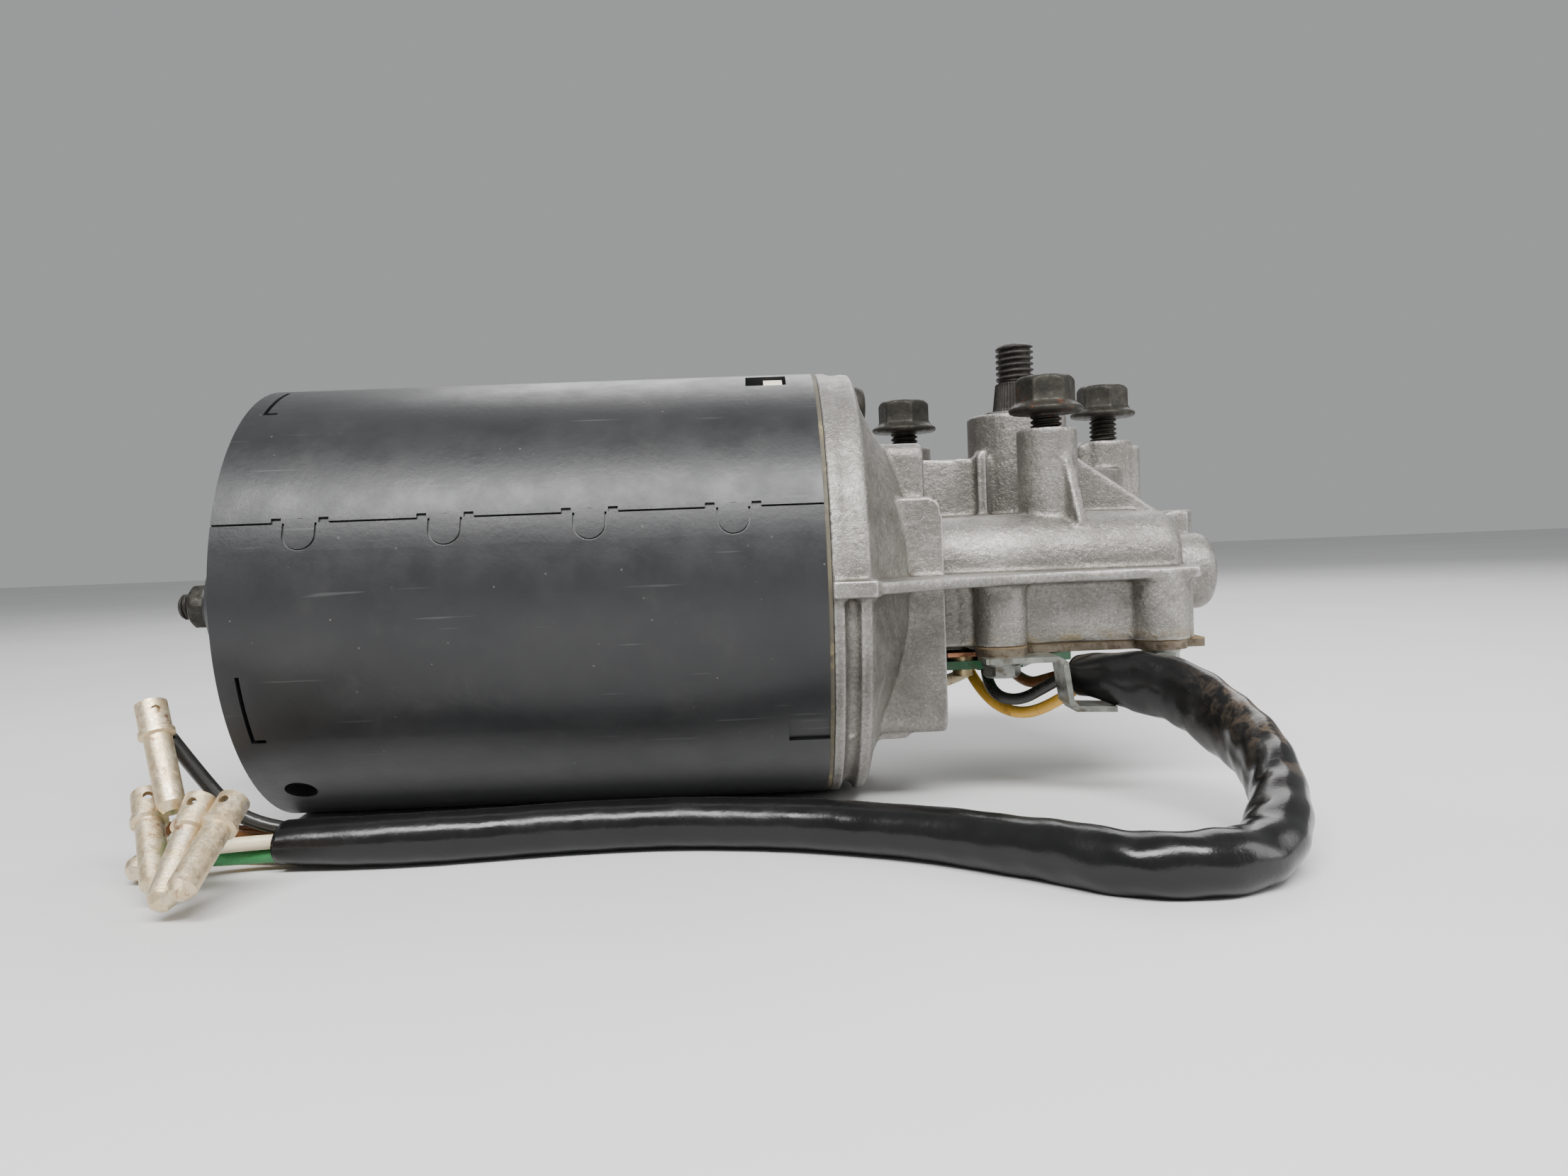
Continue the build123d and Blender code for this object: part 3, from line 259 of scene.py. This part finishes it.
def vinyl(name, low, high, dirt=(0.14, 0.09, 0.05), dirt_from=0.62, rough=(0.18, 0.34), bumps=0.05):
    """Soft vinyl with a slow ripple, pimples and rubbed-in dirt."""
    f = Finish(name, specular=0.5)
    base = f.ramp(f.noise(0.12, 5), (0.3, low), (0.7, high))
    grime = f.span(f.noise(0.2, 7, 0.68, 0.7, shift=3.0), dirt_from, dirt_from + 0.14)
    f.colour(f.mix(f.times(grime, 0.7), base, dirt))
    f.rough(f.noise(0.3, 6, 0.65), *rough)
    f.relief(f.noise(0.45, 4), bumps)
    f.relief(f.span(f.cells(1.1), 0.2, 0.05), 0.015)
    return f.material


def sleeve_vinyl():
    """The cable's glossy sleeve; its outer bend carries brown dirt and scuffs."""
    f = Finish("sleeve_vinyl", specular=0.42)
    base = f.ramp(f.noise(0.09, 5), (0.3, (0.004, 0.004, 0.0042)), (0.7, (0.008, 0.008, 0.0082)))
    bend = f.times(f.span(f.axis("X"), 12.0, 24.0), f.span(f.axis("Z"), -60.0, -50.0))
    scuff = f.span(f.noise(0.3, 7, 0.7, 0.8, shift=3.0), 0.46, 0.62)
    base = f.mix(f.times(f.times(bend, scuff), 0.85), base, (0.13, 0.095, 0.065))
    dust = f.times(f.span(f.noise(0.5, 6, 0.7, shift=9.0), 0.6, 0.75), 0.3)
    f.colour(f.mix(dust, base, (0.035, 0.03, 0.027)))
    f.rough(f.noise(0.22, 6, 0.65, shift=1.0), 0.14, 0.3)
    f.relief(f.noise(0.35, 5, 0.6, 0.4), 0.07)
    f.relief(f.noise(1.7, 4, 0.6), 0.02)
    return f.material


def plastic(name, low, high, dirt, rough=(0.35, 0.5), grain=0.02, scale=1.5):
    f = Finish(name)
    base = f.ramp(f.noise(0.1, 5), (0.3, low), (0.7, high))
    grime = f.times(f.span(f.noise(0.18, 7, 0.66, 0.5, shift=2.0), 0.52, 0.7), 0.6)
    f.colour(f.mix(grime, base, dirt))
    f.rough(f.noise(0.4, 5), *rough)
    f.relief(f.noise(scale, 4), grain)
    return f.material


def laminated():
    """Stacked sheets, seen as fine rings along the motor's axis."""
    f = Finish("laminated_core", metallic=0.7)
    node = f.add("ShaderNodeTexWave", wave_type="BANDS", bands_direction="X")
    node.inputs["Scale"].default_value = 0.31
    node.inputs["Distortion"].default_value = 0.2
    f.join(f.where, node.inputs["Vector"])
    base = f.ramp(node.outputs["Fac"], (0.2, (0.07, 0.066, 0.06)), (0.6, (0.3, 0.29, 0.27)))
    f.colour(f.mix(f.span(f.noise(0.3, 6), 0.55, 0.7), base, (0.14, 0.09, 0.055)))
    f.rough(f.noise(0.6, 4), 0.35, 0.55)
    f.relief(node.outputs["Fac"], 0.06)
    return f.material


def enamelled():
    """Copper wire laid in turns under amber varnish."""
    f = Finish("enamelled_copper", metallic=0.45, coat=0.6)
    node = f.add("ShaderNodeTexWave", wave_type="BANDS", bands_direction="DIAGONAL")
    node.inputs["Scale"].default_value = 0.28
    node.inputs["Distortion"].default_value = 1.6
    node.inputs["Detail Scale"].default_value = 0.4
    f.join(f.where, node.inputs["Vector"])
    f.colour(f.ramp(node.outputs["Fac"], (0.15, (0.11, 0.028, 0.01)), (0.7, (0.52, 0.18, 0.06))))
    f.rough(f.noise(0.5, 4), 0.22, 0.4)
    f.relief(node.outputs["Fac"], 0.25)
    return f.material


PAINT = black_paint()
CAST = cast_aluminium()
BOLT_BLACK = ((0.017, 0.016, 0.013), (0.042, 0.039, 0.031))
BOLT = dark_steel("phosphated_bolt", 0.66, 0.76, BOLT_BLACK)
RUSTY_BOLT = dark_steel("rusted_bolt", 0.55, 0.66, BOLT_BLACK)
SHAFT_BLACK = dark_steel("black_oxide_shaft", 0.66, 0.78, ((0.022, 0.02, 0.018), (0.05, 0.046, 0.04)))
RUST = dark_steel("rusted_screw", 0.3, 0.45, ((0.1, 0.06, 0.04), (0.2, 0.12, 0.07)))
STEEL = plain_metal("ground_steel", (0.42, 0.41, 0.395), (0.56, 0.55, 0.53), (0.2, 0.34))
ZINC = plain_metal("zinc_plate", (0.2, 0.21, 0.188), (0.37, 0.38, 0.345), (0.32, 0.5),
                   (0.12, 0.1, 0.07), 0.5)
COVER = plain_metal("dull_cover_plate", (0.13, 0.107, 0.08), (0.24, 0.203, 0.155), (0.42, 0.6),
                    (0.08, 0.055, 0.032), 0.46)
COPPER = plain_metal("dirty_copper", (0.42, 0.19, 0.1), (0.62, 0.31, 0.18), (0.35, 0.55),
                     (0.14, 0.06, 0.03), 0.48)
BRASS = plain_metal("dull_brass", (0.42, 0.33, 0.18), (0.6, 0.48, 0.27), (0.3, 0.5), (0.16, 0.1, 0.05), 0.5)
BRONZE = plain_metal("sintered_bronze", (0.3, 0.2, 0.1), (0.46, 0.32, 0.17), (0.45, 0.65),
                     (0.1, 0.07, 0.04), 0.5, None, 0.05)
TERMINAL = terminal_metal()
FERRITE = plastic("dark_ferrite", (0.028, 0.028, 0.031), (0.05, 0.05, 0.054), (0.09, 0.08, 0.07),
                  (0.5, 0.7), 0.06)
CARBON = plastic("brush_carbon", (0.02, 0.02, 0.022), (0.04, 0.04, 0.044), (0.07, 0.06, 0.05),
                 (0.35, 0.5), 0.03)
PHENOLIC = plastic("brown_phenolic", (0.12, 0.055, 0.026), (0.2, 0.1, 0.05), (0.06, 0.035, 0.02), (0.3, 0.45))
CREAM = plastic("cream_plastic", (0.62, 0.55, 0.4), (0.74, 0.68, 0.54), (0.33, 0.25, 0.15))
NYLON = plastic("greased_nylon", (0.66, 0.64, 0.56), (0.78, 0.76, 0.7), (0.34, 0.24, 0.1), (0.22, 0.4))
BOARD = plastic("lacquered_board", (0.02, 0.11, 0.045), (0.04, 0.19, 0.08), (0.1, 0.06, 0.03), (0.25, 0.45))
GASKET = plastic("dirty_gasket", (0.05, 0.045, 0.035), (0.11, 0.095, 0.06), (0.3, 0.24, 0.12),
                 (0.6, 0.8), 0.05)
PAPER = plastic("oiled_paper_gasket", (0.11, 0.075, 0.036), (0.23, 0.165, 0.085), (0.07, 0.045, 0.025),
                (0.5, 0.7), 0.04)
RUBBER = plastic("seal_rubber", (0.02, 0.02, 0.02), (0.04, 0.038, 0.035), (0.1, 0.08, 0.06), (0.4, 0.6))
SLEEVE = sleeve_vinyl()
WIRE_BLACK = vinyl("wire_black", (0.012, 0.012, 0.012), (0.024, 0.023, 0.022), (0.06, 0.045, 0.035))
WIRE_CREAM = vinyl("wire_cream", (0.6, 0.5, 0.33), (0.74, 0.65, 0.48), (0.26, 0.13, 0.05), 0.5, (0.3, 0.45))
WIRE_GREEN = vinyl("wire_green", (0.025, 0.16, 0.05), (0.05, 0.26, 0.09), (0.05, 0.06, 0.02), 0.55)
WIRE_BROWN = vinyl("wire_brown", (0.14, 0.05, 0.02), (0.24, 0.1, 0.04), (0.06, 0.03, 0.02))
WIRE_YELLOW = vinyl("wire_yellow", (0.62, 0.33, 0.035), (0.8, 0.46, 0.07), (0.28, 0.13, 0.04), 0.55)
LAMINATED = laminated()
ENAMELLED = enamelled()

# The CAD pieces whose shape is kept, and their finish.
FINISHES = {
    PAINT: ("yoke_tube", "rear_end_cover"),
    BRONZE: ("rear_bearing", "front_bearing", "worm_end_bush", "output_bush"),
    STEEL: ("rear_bearing_clip", "magnet_clips", "brush_springs", "thrust_ball", "armature_shaft",
            "output_circlip", "output_shim"),
    FERRITE: ("field_magnets",),
    CREAM: ("brush_plate",),
    BRASS: ("brush_holders", "contact_rivets", "park_contacts", "park_contact_disc"),
    CARBON: ("carbon_brushes",),
    RUBBER: ("output_seal_ring",),
    GASKET: ("flange_seal",),
    BOLT: ("housing_screws",),
    RUST: ("end_screw",),
    COVER: ("gear_cover_plate",),
    PAPER: ("cover_gasket",),
    ZINC: ("cover_screws", "cable_clamp", "clamp_screw"),
    BOARD: ("switch_board",),
    COPPER: ("contact_lug", "commutator_bars"),
    PHENOLIC: ("commutator_hub", "thrust_washers"),
    LAMINATED: ("armature_core",),
    ENAMELLED: ("armature_windings",),
    NYLON: ("worm_wheel",),
    TERMINAL: ("bullet_terminals",),
}


def dress(obj, material):
    if not obj.material_slots:
        obj.data.materials.append(material)
    for held in obj.material_slots:
        held.material = material


for material, names in FINISHES.items():
    for name in names:
        dress(NODES[name], material)


# ---- the cable, its wires and the short leads ----
SLEEVE_ROUTE = (
    (0.0018, -0.0388, -0.0463), (0.007, -0.046, -0.0458), (0.0154, -0.0539, -0.048),
    (0.0202, -0.0652, -0.053), (0.0203, -0.0774, -0.0573), (0.0168, -0.089, -0.0618),
    (0.0098, -0.0986, -0.0638), (0.0006, -0.1036, -0.0638), (-0.0096, -0.1006, -0.0638),
    (-0.019, -0.0912, -0.0638), (-0.0314, -0.0806, -0.0638), (-0.0464, -0.0726, -0.0638),
    (-0.0624, -0.0674, -0.0638), (-0.0794, -0.0656, -0.0638), (-0.0974, -0.0676, -0.0638),
    (-0.1154, -0.0704, -0.0638), (-0.1322, -0.0682, -0.0638),
)
WIRES = {
    "wire_black": ((-0.1322, -0.0682, -0.0617), (-0.1391, -0.0675, -0.0605), (-0.1434, -0.0696, -0.0539),
                   (-0.1463, -0.0742, -0.0458)),
    "wire_cream": ((-0.13246, -0.0702, -0.06315), (-0.1369, -0.0705, -0.0632), (-0.1416, -0.0743, -0.0627),
                   (-0.1407, -0.0805, -0.0612), (-0.1356, -0.085, -0.0592)),
    "wire_green": ((-0.13236, -0.0694, -0.0655), (-0.1409, -0.0694, -0.0657), (-0.1456, -0.0765, -0.0639),
                   (-0.1412, -0.084, -0.0588)),
    "wire_brown": ((-0.13194, -0.0662, -0.06315), (-0.1399, -0.0654, -0.0627), (-0.1464, -0.0695, -0.0609),
                   (-0.148, -0.0772, -0.0588)),
    "wire_yellow": ((-0.13204, -0.067, -0.0655), (-0.1379, -0.0658, -0.0661), (-0.1437, -0.0639, -0.0659),
                    (-0.1493, -0.0632, -0.0646)),
}
LEADS = {
    "lead_black": ((0.0009, -0.0397, -0.0451), (-0.0028, -0.0344, -0.0483), (-0.0088, -0.0338, -0.0515),
                   (-0.0136, -0.0312, -0.0498), (-0.013, -0.0258, -0.04625)),
    "lead_yellow": ((0.0018, -0.0388, -0.0481), (-0.0028, -0.0346, -0.0525), (-0.0088, -0.0312, -0.0543),
                    (-0.0138, -0.0254, -0.0511), (-0.0154, -0.0186, -0.04625)),
    "lead_brown": ((0.0029, -0.0377, -0.0451), (-0.0018, -0.0324, -0.0473), (-0.006, -0.0276, -0.0491),
                   (-0.0076, -0.0214, -0.04625)),
    "lead_cream": ((-0.0258, -0.029, -0.0483), (-0.0212, -0.027, -0.0481), (-0.017, -0.0258, -0.0463)),
}
WIRE_FINISHES = {"black": WIRE_BLACK, "cream": WIRE_CREAM, "green": WIRE_GREEN, "brown": WIRE_BROWN,
                 "yellow": WIRE_YELLOW}


def route_curve(name, points, radius):
    """One smooth open spline through space, drawn as a round cord of that radius."""
    data = bpy.data.curves.new(name, "CURVE")
    data.dimensions = "3D"
    spline = data.splines.new("NURBS")
    spline.points.add(len(points) - 1)
    for control, point in zip(spline.points, points):
        control.co = (*point, 1.0)
    spline.order_u = 3
    spline.use_endpoint_u = True
    data.resolution_u = 16
    data.bevel_depth = radius
    data.bevel_resolution = 6
    data.use_fill_caps = True
    obj = bpy.data.objects.new(name + "_piece", data)
    bpy.context.scene.collection.objects.link(obj)
    return obj


def route_points(points):
    """The spline's own points, read from the curve without its thickness."""
    bare = route_curve("route", points, 0.0)
    mesh = bpy.data.meshes.new_from_object(bare)
    line = np.array([v.co for v in mesh.vertices])
    data = bare.data
    bpy.data.objects.remove(bare)
    bpy.data.meshes.remove(mesh)
    bpy.data.curves.remove(data)
    return line


def add_mesh(name, verts, faces, material, body, slot, *replaced):
    mesh = bpy.data.meshes.new(name)
    mesh.from_pydata([tuple(v) for v in verts], [], faces)
    mesh.validate()
    mesh.update()
    for p in mesh.polygons:
        p.use_smooth = True
    obj = bpy.data.objects.new(name, mesh)
    bpy.context.scene.collection.objects.link(obj)
    return place(obj, material, body, slot, *replaced)


def place(obj, material, body, slot, *replaced):
    dress(obj, material)
    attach(obj, body)
    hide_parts(*replaced)
    return obj


def ring_faces(rows, count):
    """Quads between rows of count points, closed round."""
    faces = []
    for r in range(rows - 1):
        low, high = r * count, (r + 1) * count
        for k in range(count):
            after = (k + 1) % count
            faces.append((low + k, low + after, high + after, high + k))
    return faces


# Half widths of the sleeve across and upright, in mm, at stations along it in mm.
SLEEVE_SECTION = ((0, 3.7, 3.8), (5, 3.6, 4.3), (12, 3.4, 5.4), (30, 3.6, 6.0), (48, 4.0, 5.8),
                  (60, 4.6, 5.0), (72, 4.6, 4.3), (82, 4.3, 4.5), (100, 4.0, 4.4), (125, 4.1, 4.0),
                  (208, 4.1, 3.95), (218, 4.4, 3.7), (226, 4.9, 3.3))
SLEEVE_STEP = 0.6 * MM
# In mm: the sleeve's mean radius, how deep a crease is and how far it is to the next one.
SLEEVE_MEAN_R = 4.6
CREASE_DEPTH = 0.42
CREASE_STEP = 4.6
WIRE_R = 1.15 * MM
LEAD_R = 1.1 * MM


def make_sleeve():
    """The vinyl sleeve: round along the floor, flattened and creased where it folds back on itself."""
    line = route_points(SLEEVE_ROUTE)
    along = np.concatenate([[0], np.cumsum(np.linalg.norm(np.diff(line, axis=0), axis=1))])
    count = int(along[-1] / SLEEVE_STEP)
    at = np.linspace(0, along[-1], count)
    path = np.stack([np.interp(at, along, line[:, k]) for k in range(3)], axis=1)
    tangent = np.gradient(path, axis=0)
    tangent /= np.linalg.norm(tangent, axis=1)[:, None]
    side = np.cross(tangent, (0.0, 0.0, 1.0))
    side /= np.linalg.norm(side, axis=1)[:, None]
    lift = np.cross(side, tangent)
    bend = np.gradient(tangent, at, axis=0)
    wide = np.interp(at / MM, [s[0] for s in SLEEVE_SECTION], [s[1] for s in SLEEVE_SECTION])
    tall = np.interp(at / MM, [s[0] for s in SLEEVE_SECTION], [s[2] for s in SLEEVE_SECTION])
    around = 56
    angle = np.linspace(0, 2 * math.pi, around, endpoint=False)
    verts = []
    for i, s in enumerate(at / MM):
        # Creases gather on the inside of a tight bend.
        inward = bend[i] / max(np.linalg.norm(bend[i]), 1e-9)
        tight = min(1.0, np.linalg.norm(bend[i]) * 0.016) ** 2
        for a in angle:
            c, d = math.cos(a), math.sin(a)
            out = side[i] * c + lift[i] * d
            facing = max(0.0, float(out @ inward))
            wave = math.cos(s * 2 * math.pi / CREASE_STEP + 1.2 * math.sin(a))
            crease = -CREASE_DEPTH * tight * facing * (0.5 + 0.5 * wave)
            p = path[i] * MM_PER_M
            ripple = 0.16 * math.sin(s * 0.31 + 2.1 * math.sin(a + 0.4)) + 0.1 * math.sin(s * 0.83 + 3 * a)
            loose = 0.25 + 0.75 * float(np.clip((120 - s) / 30, 0, 1))
            swell = 1 + (crease + ripple * loose) / SLEEVE_MEAN_R
            low = wide[i] * c * side[i] + tall[i] * d * lift[i]
            point = p + low * swell
            point[2] = max(point[2], FLOOR_Z * MM_PER_M + 0.02)
            verts.append(point * MM)
    faces = ring_faces(count, around)
    first, last = len(verts), len(verts) + 1
    verts += [path[0], path[-1] + tangent[-1] * -0.0004]
    faces += [(first, (k + 1) % around, k) for k in range(around)]
    start = (count - 1) * around
    faces += [(last, start + k, start + (k + 1) % around) for k in range(around)]
    sleeve = add_mesh("sleeve_piece", verts, faces, SLEEVE, "housing", "sleeve", "cable_sleeve")
    return sleeve, path


def make_cables():
    sleeve, path = make_sleeve()
    for name, points in WIRES.items():
        wire = route_curve(name, points, WIRE_R)
        place(wire, WIRE_FINISHES[name.split("_")[1]], "housing", name, name)
    for name, points in LEADS.items():
        colour = name.split("_")[1]
        place(route_curve(name, points, LEAD_R), WIRE_FINISHES[colour], "housing", "wire_" + colour, name)


make_cables()


# ---- the casting ----
CAST_VOXEL = 0.5 * MM


def make_casting():
    """The die casting with its edges and inner corners rounded off, as poured metal has them."""
    source = NODES["gear_housing"]
    obj = bpy.data.objects.new("gear_housing_piece", source.data.copy())
    bpy.context.scene.collection.objects.link(obj)
    remesh = obj.modifiers.new("even", "REMESH")
    remesh.mode = "VOXEL"
    remesh.voxel_size = CAST_VOXEL
    soften = obj.modifiers.new("soften", "SMOOTH")
    soften.factor = 0.5
    soften.iterations = 3
    bpy.context.view_layer.update()
    mesh = bpy.data.meshes.new_from_object(obj.evaluated_get(bpy.context.evaluated_depsgraph_get()))
    obj.modifiers.clear()
    obj.data = mesh
    for p in mesh.polygons:
        p.use_smooth = True
    mesh.materials.clear()
    return place(obj, CAST, "housing", "cast_aluminium", "gear_housing")


make_casting()


# ---- turned pieces with threads, flats and knurls ----
def turned(name, rings, around, matrix, material, body, slot, *replaced):
    """A closed body whose section at each height (mm) is a radius (mm) for each angle."""
    angles = np.linspace(0, 2 * math.pi, around, endpoint=False)
    verts = []
    for z, radius in rings:
        for a in angles:
            r = radius(a)
            verts.append((r * math.cos(a), r * math.sin(a), z))
    faces = ring_faces(len(rings), around)
    verts += [(0, 0, rings[0][0]), (0, 0, rings[-1][0])]
    low, high, top = len(verts) - 2, len(verts) - 1, (len(rings) - 1) * around
    faces += [(low, (k + 1) % around, k) for k in range(around)]
    faces += [(high, top + k, top + (k + 1) % around) for k in range(around)]
    placed = [matrix @ (Vector(v) * MM) for v in verts]
    return add_mesh(name, placed, faces, material, body, slot, *replaced)


def plain(r):
    return lambda a: r


def hexagon(flats, corner_r, crown_r):
    """A hexagon's radius at each angle, with its corners rounded to corner_r and cut by a crown."""
    def radius(a):
        from_flat = (a + math.pi / 6) % (math.pi / 3) - math.pi / 6
        return min(flats / 2 / math.cos(from_flat), corner_r, crown_r)
    return radius


def threaded(z0, z1, major, pitch, fade=0.8):
    """Rings that follow one right-hand helix, fading out at both ends."""
    rings = []
    depth = pitch * 0.55
    for z in np.arange(z0, z1 + 1e-6, pitch / 9):
        strength = float(np.clip(min(z - z0 + 0.25, z1 - z + 0.25) / fade, 0, 1))

        def radius(a, z=z, strength=strength):
            phase = (z / pitch - a / (2 * math.pi)) % 1.0
            groove = np.clip(1.25 - abs(phase - 0.5) * 3.4, 0, 1)
            return major - depth * groove * strength
        rings.append((z, radius))
    return rings


# How many points go round each kind of turned piece.
BOLT_SIDES = 144
SHAFT_SIDES = 176
SCREW_SIDES = 96

BOLT_CIRCLE_R = 26 * MM
# Each bolt's place on the circle (degrees), the height of its flange (mm), its turn and its finish.
BOLTS = ((-90, 3.0, 0.4, RUSTY_BOLT), (30, 5.4, 1.1, BOLT), (150, 3.6, 2.3, BOLT))


def make_bolt(index, angle, seat, turn, material):
    """An M6 flange bolt with a hexagon head, a dished top and a coarse thread."""
    rings = [(-12.0, plain(1.8)), (-11.6, plain(2.2)), (-1.2, plain(2.2)), (-0.9, plain(2.5))]
    rings += threaded(0.0, seat - 0.35, 2.98, 1.0, 0.4)
    rings += [(seat - 0.2, plain(2.9)), (seat, plain(3.2)), (seat + 0.02, plain(6.5)),
              (seat + 0.25, plain(6.95)), (seat + 0.6, plain(7.1)), (seat + 1.0, plain(7.05)),
              (seat + 1.25, plain(6.7)), (seat + 1.6, plain(6.25)),
              (seat + 2.1, hexagon(10.3, 5.9, 5.9)), (seat + 2.5, hexagon(10.0, 5.66, 5.66)),
              (seat + 4.2, hexagon(10.0, 5.66, 5.66)), (seat + 5.9, hexagon(10.0, 5.66, 5.66)),
              (seat + 6.3, hexagon(10.0, 5.6, 5.5)), (seat + 6.7, hexagon(9.9, 5.3, 5.15)),
              (seat + 7.0, hexagon(9.7, 4.9, 4.8)), (seat + 7.1, plain(4.3)), (seat + 7.0, plain(3.8)),
              (seat + 6.65, plain(3.4)), (seat + 6.55, plain(1.5))]
    a = math.radians(angle)
    spot = Matrix.Translation((BOLT_CIRCLE_R * math.cos(a), BOLT_CIRCLE_R * math.sin(a), 0))
    tip = Matrix.Rotation(turn, 4, "Z")
    return turned(f"mounting_bolt_{index}", rings, BOLT_SIDES, spot @ tip, material, "housing", "dark_steel",
                  "mounting_bolts")


for number, bolt in enumerate(BOLTS):
    make_bolt(number, *bolt)


def knurl(r, depth, ridges=44):
    return lambda a: r - depth * abs(math.sin(a * ridges / 2))


# The knurled cone, in mm: where it starts and ends, its radius there and how fast it narrows.
CONE_Z = (6.4, 11.9)
CONE_R = 4.9
CONE_TAPER = 0.127
KNURL_DEPTH = 0.42


def make_output_shaft():
    """The hardened shaft: a knurled cone below an M8 thread."""
    rings = [(-35.9, plain(4.5)), (-35.4, plain(5.0)), (5.3, plain(5.0)), (5.35, plain(4.65)),
             (5.95, plain(4.65)), (6.0, plain(4.75)), (6.2, plain(4.88))]
    rings += [(z, knurl(CONE_R - (z - CONE_Z[0]) * CONE_TAPER, KNURL_DEPTH))
              for z in np.linspace(*CONE_Z, 12)]
    rings += [(12.1, plain(4.0)), (12.2, plain(3.5)), (12.5, plain(3.4))]
    rings += threaded(12.6, 19.9, 3.98, 1.25, 0.6)
    rings += [(20.1, plain(3.5)), (20.3, plain(3.1)), (20.28, plain(1.2))]
    return turned("output_shaft_piece", rings, SHAFT_SIDES, Matrix.Identity(4), SHAFT_BLACK, "output",
                  "dark_steel", "output_shaft")


make_output_shaft()


# The motor axis, as seen from the output shaft's.
MOTOR_ORIGIN = (-45.4 * MM, -24.0 * MM, -27.9 * MM)


def make_end_screw():
    """The end-float screw and its lock nut on the rear boss."""
    turn = Matrix.Translation(MOTOR_ORIGIN) @ Matrix.Rotation(-math.pi / 2, 4, "Y")
    rings = [(108.1, plain(2.0)), (115.0, plain(2.3))] + threaded(115.8, 121.5, 2.48, 0.8, 0.5)
    rings += [(121.8, plain(2.2)), (122.1, plain(1.8)), (122.0, plain(1.1))]
    turned("end_float_screw_piece", rings, SCREW_SIDES, turn, SHAFT_BLACK, "housing", "dark_steel",
           "end_float_screw")
    flat, round_off = hexagon(8.0, 4.55, 4.55), hexagon(7.9, 4.2, 4.05)
    nut = [(115.85, plain(2.6)), (115.85, hexagon(7.9, 4.3, 4.3)), (116.2, flat), (118.6, flat),
           (119.2, round_off), (119.6, plain(3.6)), (119.7, plain(3.0)), (119.5, plain(2.55))]
    turned("lock_nut_piece", nut, SCREW_SIDES, turn, BOLT, "housing", "dark_steel", "end_float_lock_nut")


make_end_screw()


# ---- floor and light ----
WORLD_COLOUR = (0.86, 0.87, 0.88, 1.0)
WORLD_STRENGTH = 0.42


def make_stage():
    f = Finish("pale_floor", specular=0.3)
    f.colour(f.ramp(f.noise(0.004, 3), (0.3, (0.66, 0.66, 0.66)), (0.7, (0.72, 0.72, 0.72))))
    f.rough(f.noise(0.02, 3), 0.5, 0.6)
    mesh = bpy.data.meshes.new("floor")
    reach = 3.0
    corners = ((-reach, -reach), (reach, -reach), (reach, reach), (-reach, reach))
    mesh.from_pydata([(x, y, FLOOR_Z) for x, y in corners], [], [(0, 1, 2, 3)])
    mesh.materials.append(f.material)
    floor = bpy.data.objects.new("floor", mesh)
    bpy.context.scene.collection.objects.link(floor)
    world = bpy.data.worlds.new("studio")
    world.use_nodes = True
    world.node_tree.nodes["Background"].inputs[0].default_value = WORLD_COLOUR
    world.node_tree.nodes["Background"].inputs[1].default_value = WORLD_STRENGTH
    bpy.context.scene.world = world


def make_light(name, where, aim, size, power, tint=(1.0, 1.0, 1.0)):
    data = bpy.data.lights.new(name, "AREA")
    data.shape = "RECTANGLE"
    data.size, data.size_y = size
    data.energy = power
    data.color = tint
    lamp = bpy.data.objects.new(name, data)
    lamp.location = where
    lamp.rotation_euler = (Vector(aim) - Vector(where)).to_track_quat("-Z", "Y").to_euler()
    bpy.context.scene.collection.objects.link(lamp)


make_stage()
make_light("key", (-0.05, -0.5, 0.6), (-0.05, -0.02, -0.03), (0.9, 0.22), 15.0)
make_light("back", (0.1, 0.6, 0.55), (-0.03, 0.0, -0.02), (0.9, 0.5), 5.0)
make_light("right", (0.75, -0.25, 0.25), (0.0, 0.0, -0.03), (0.4, 0.5), 3.0)
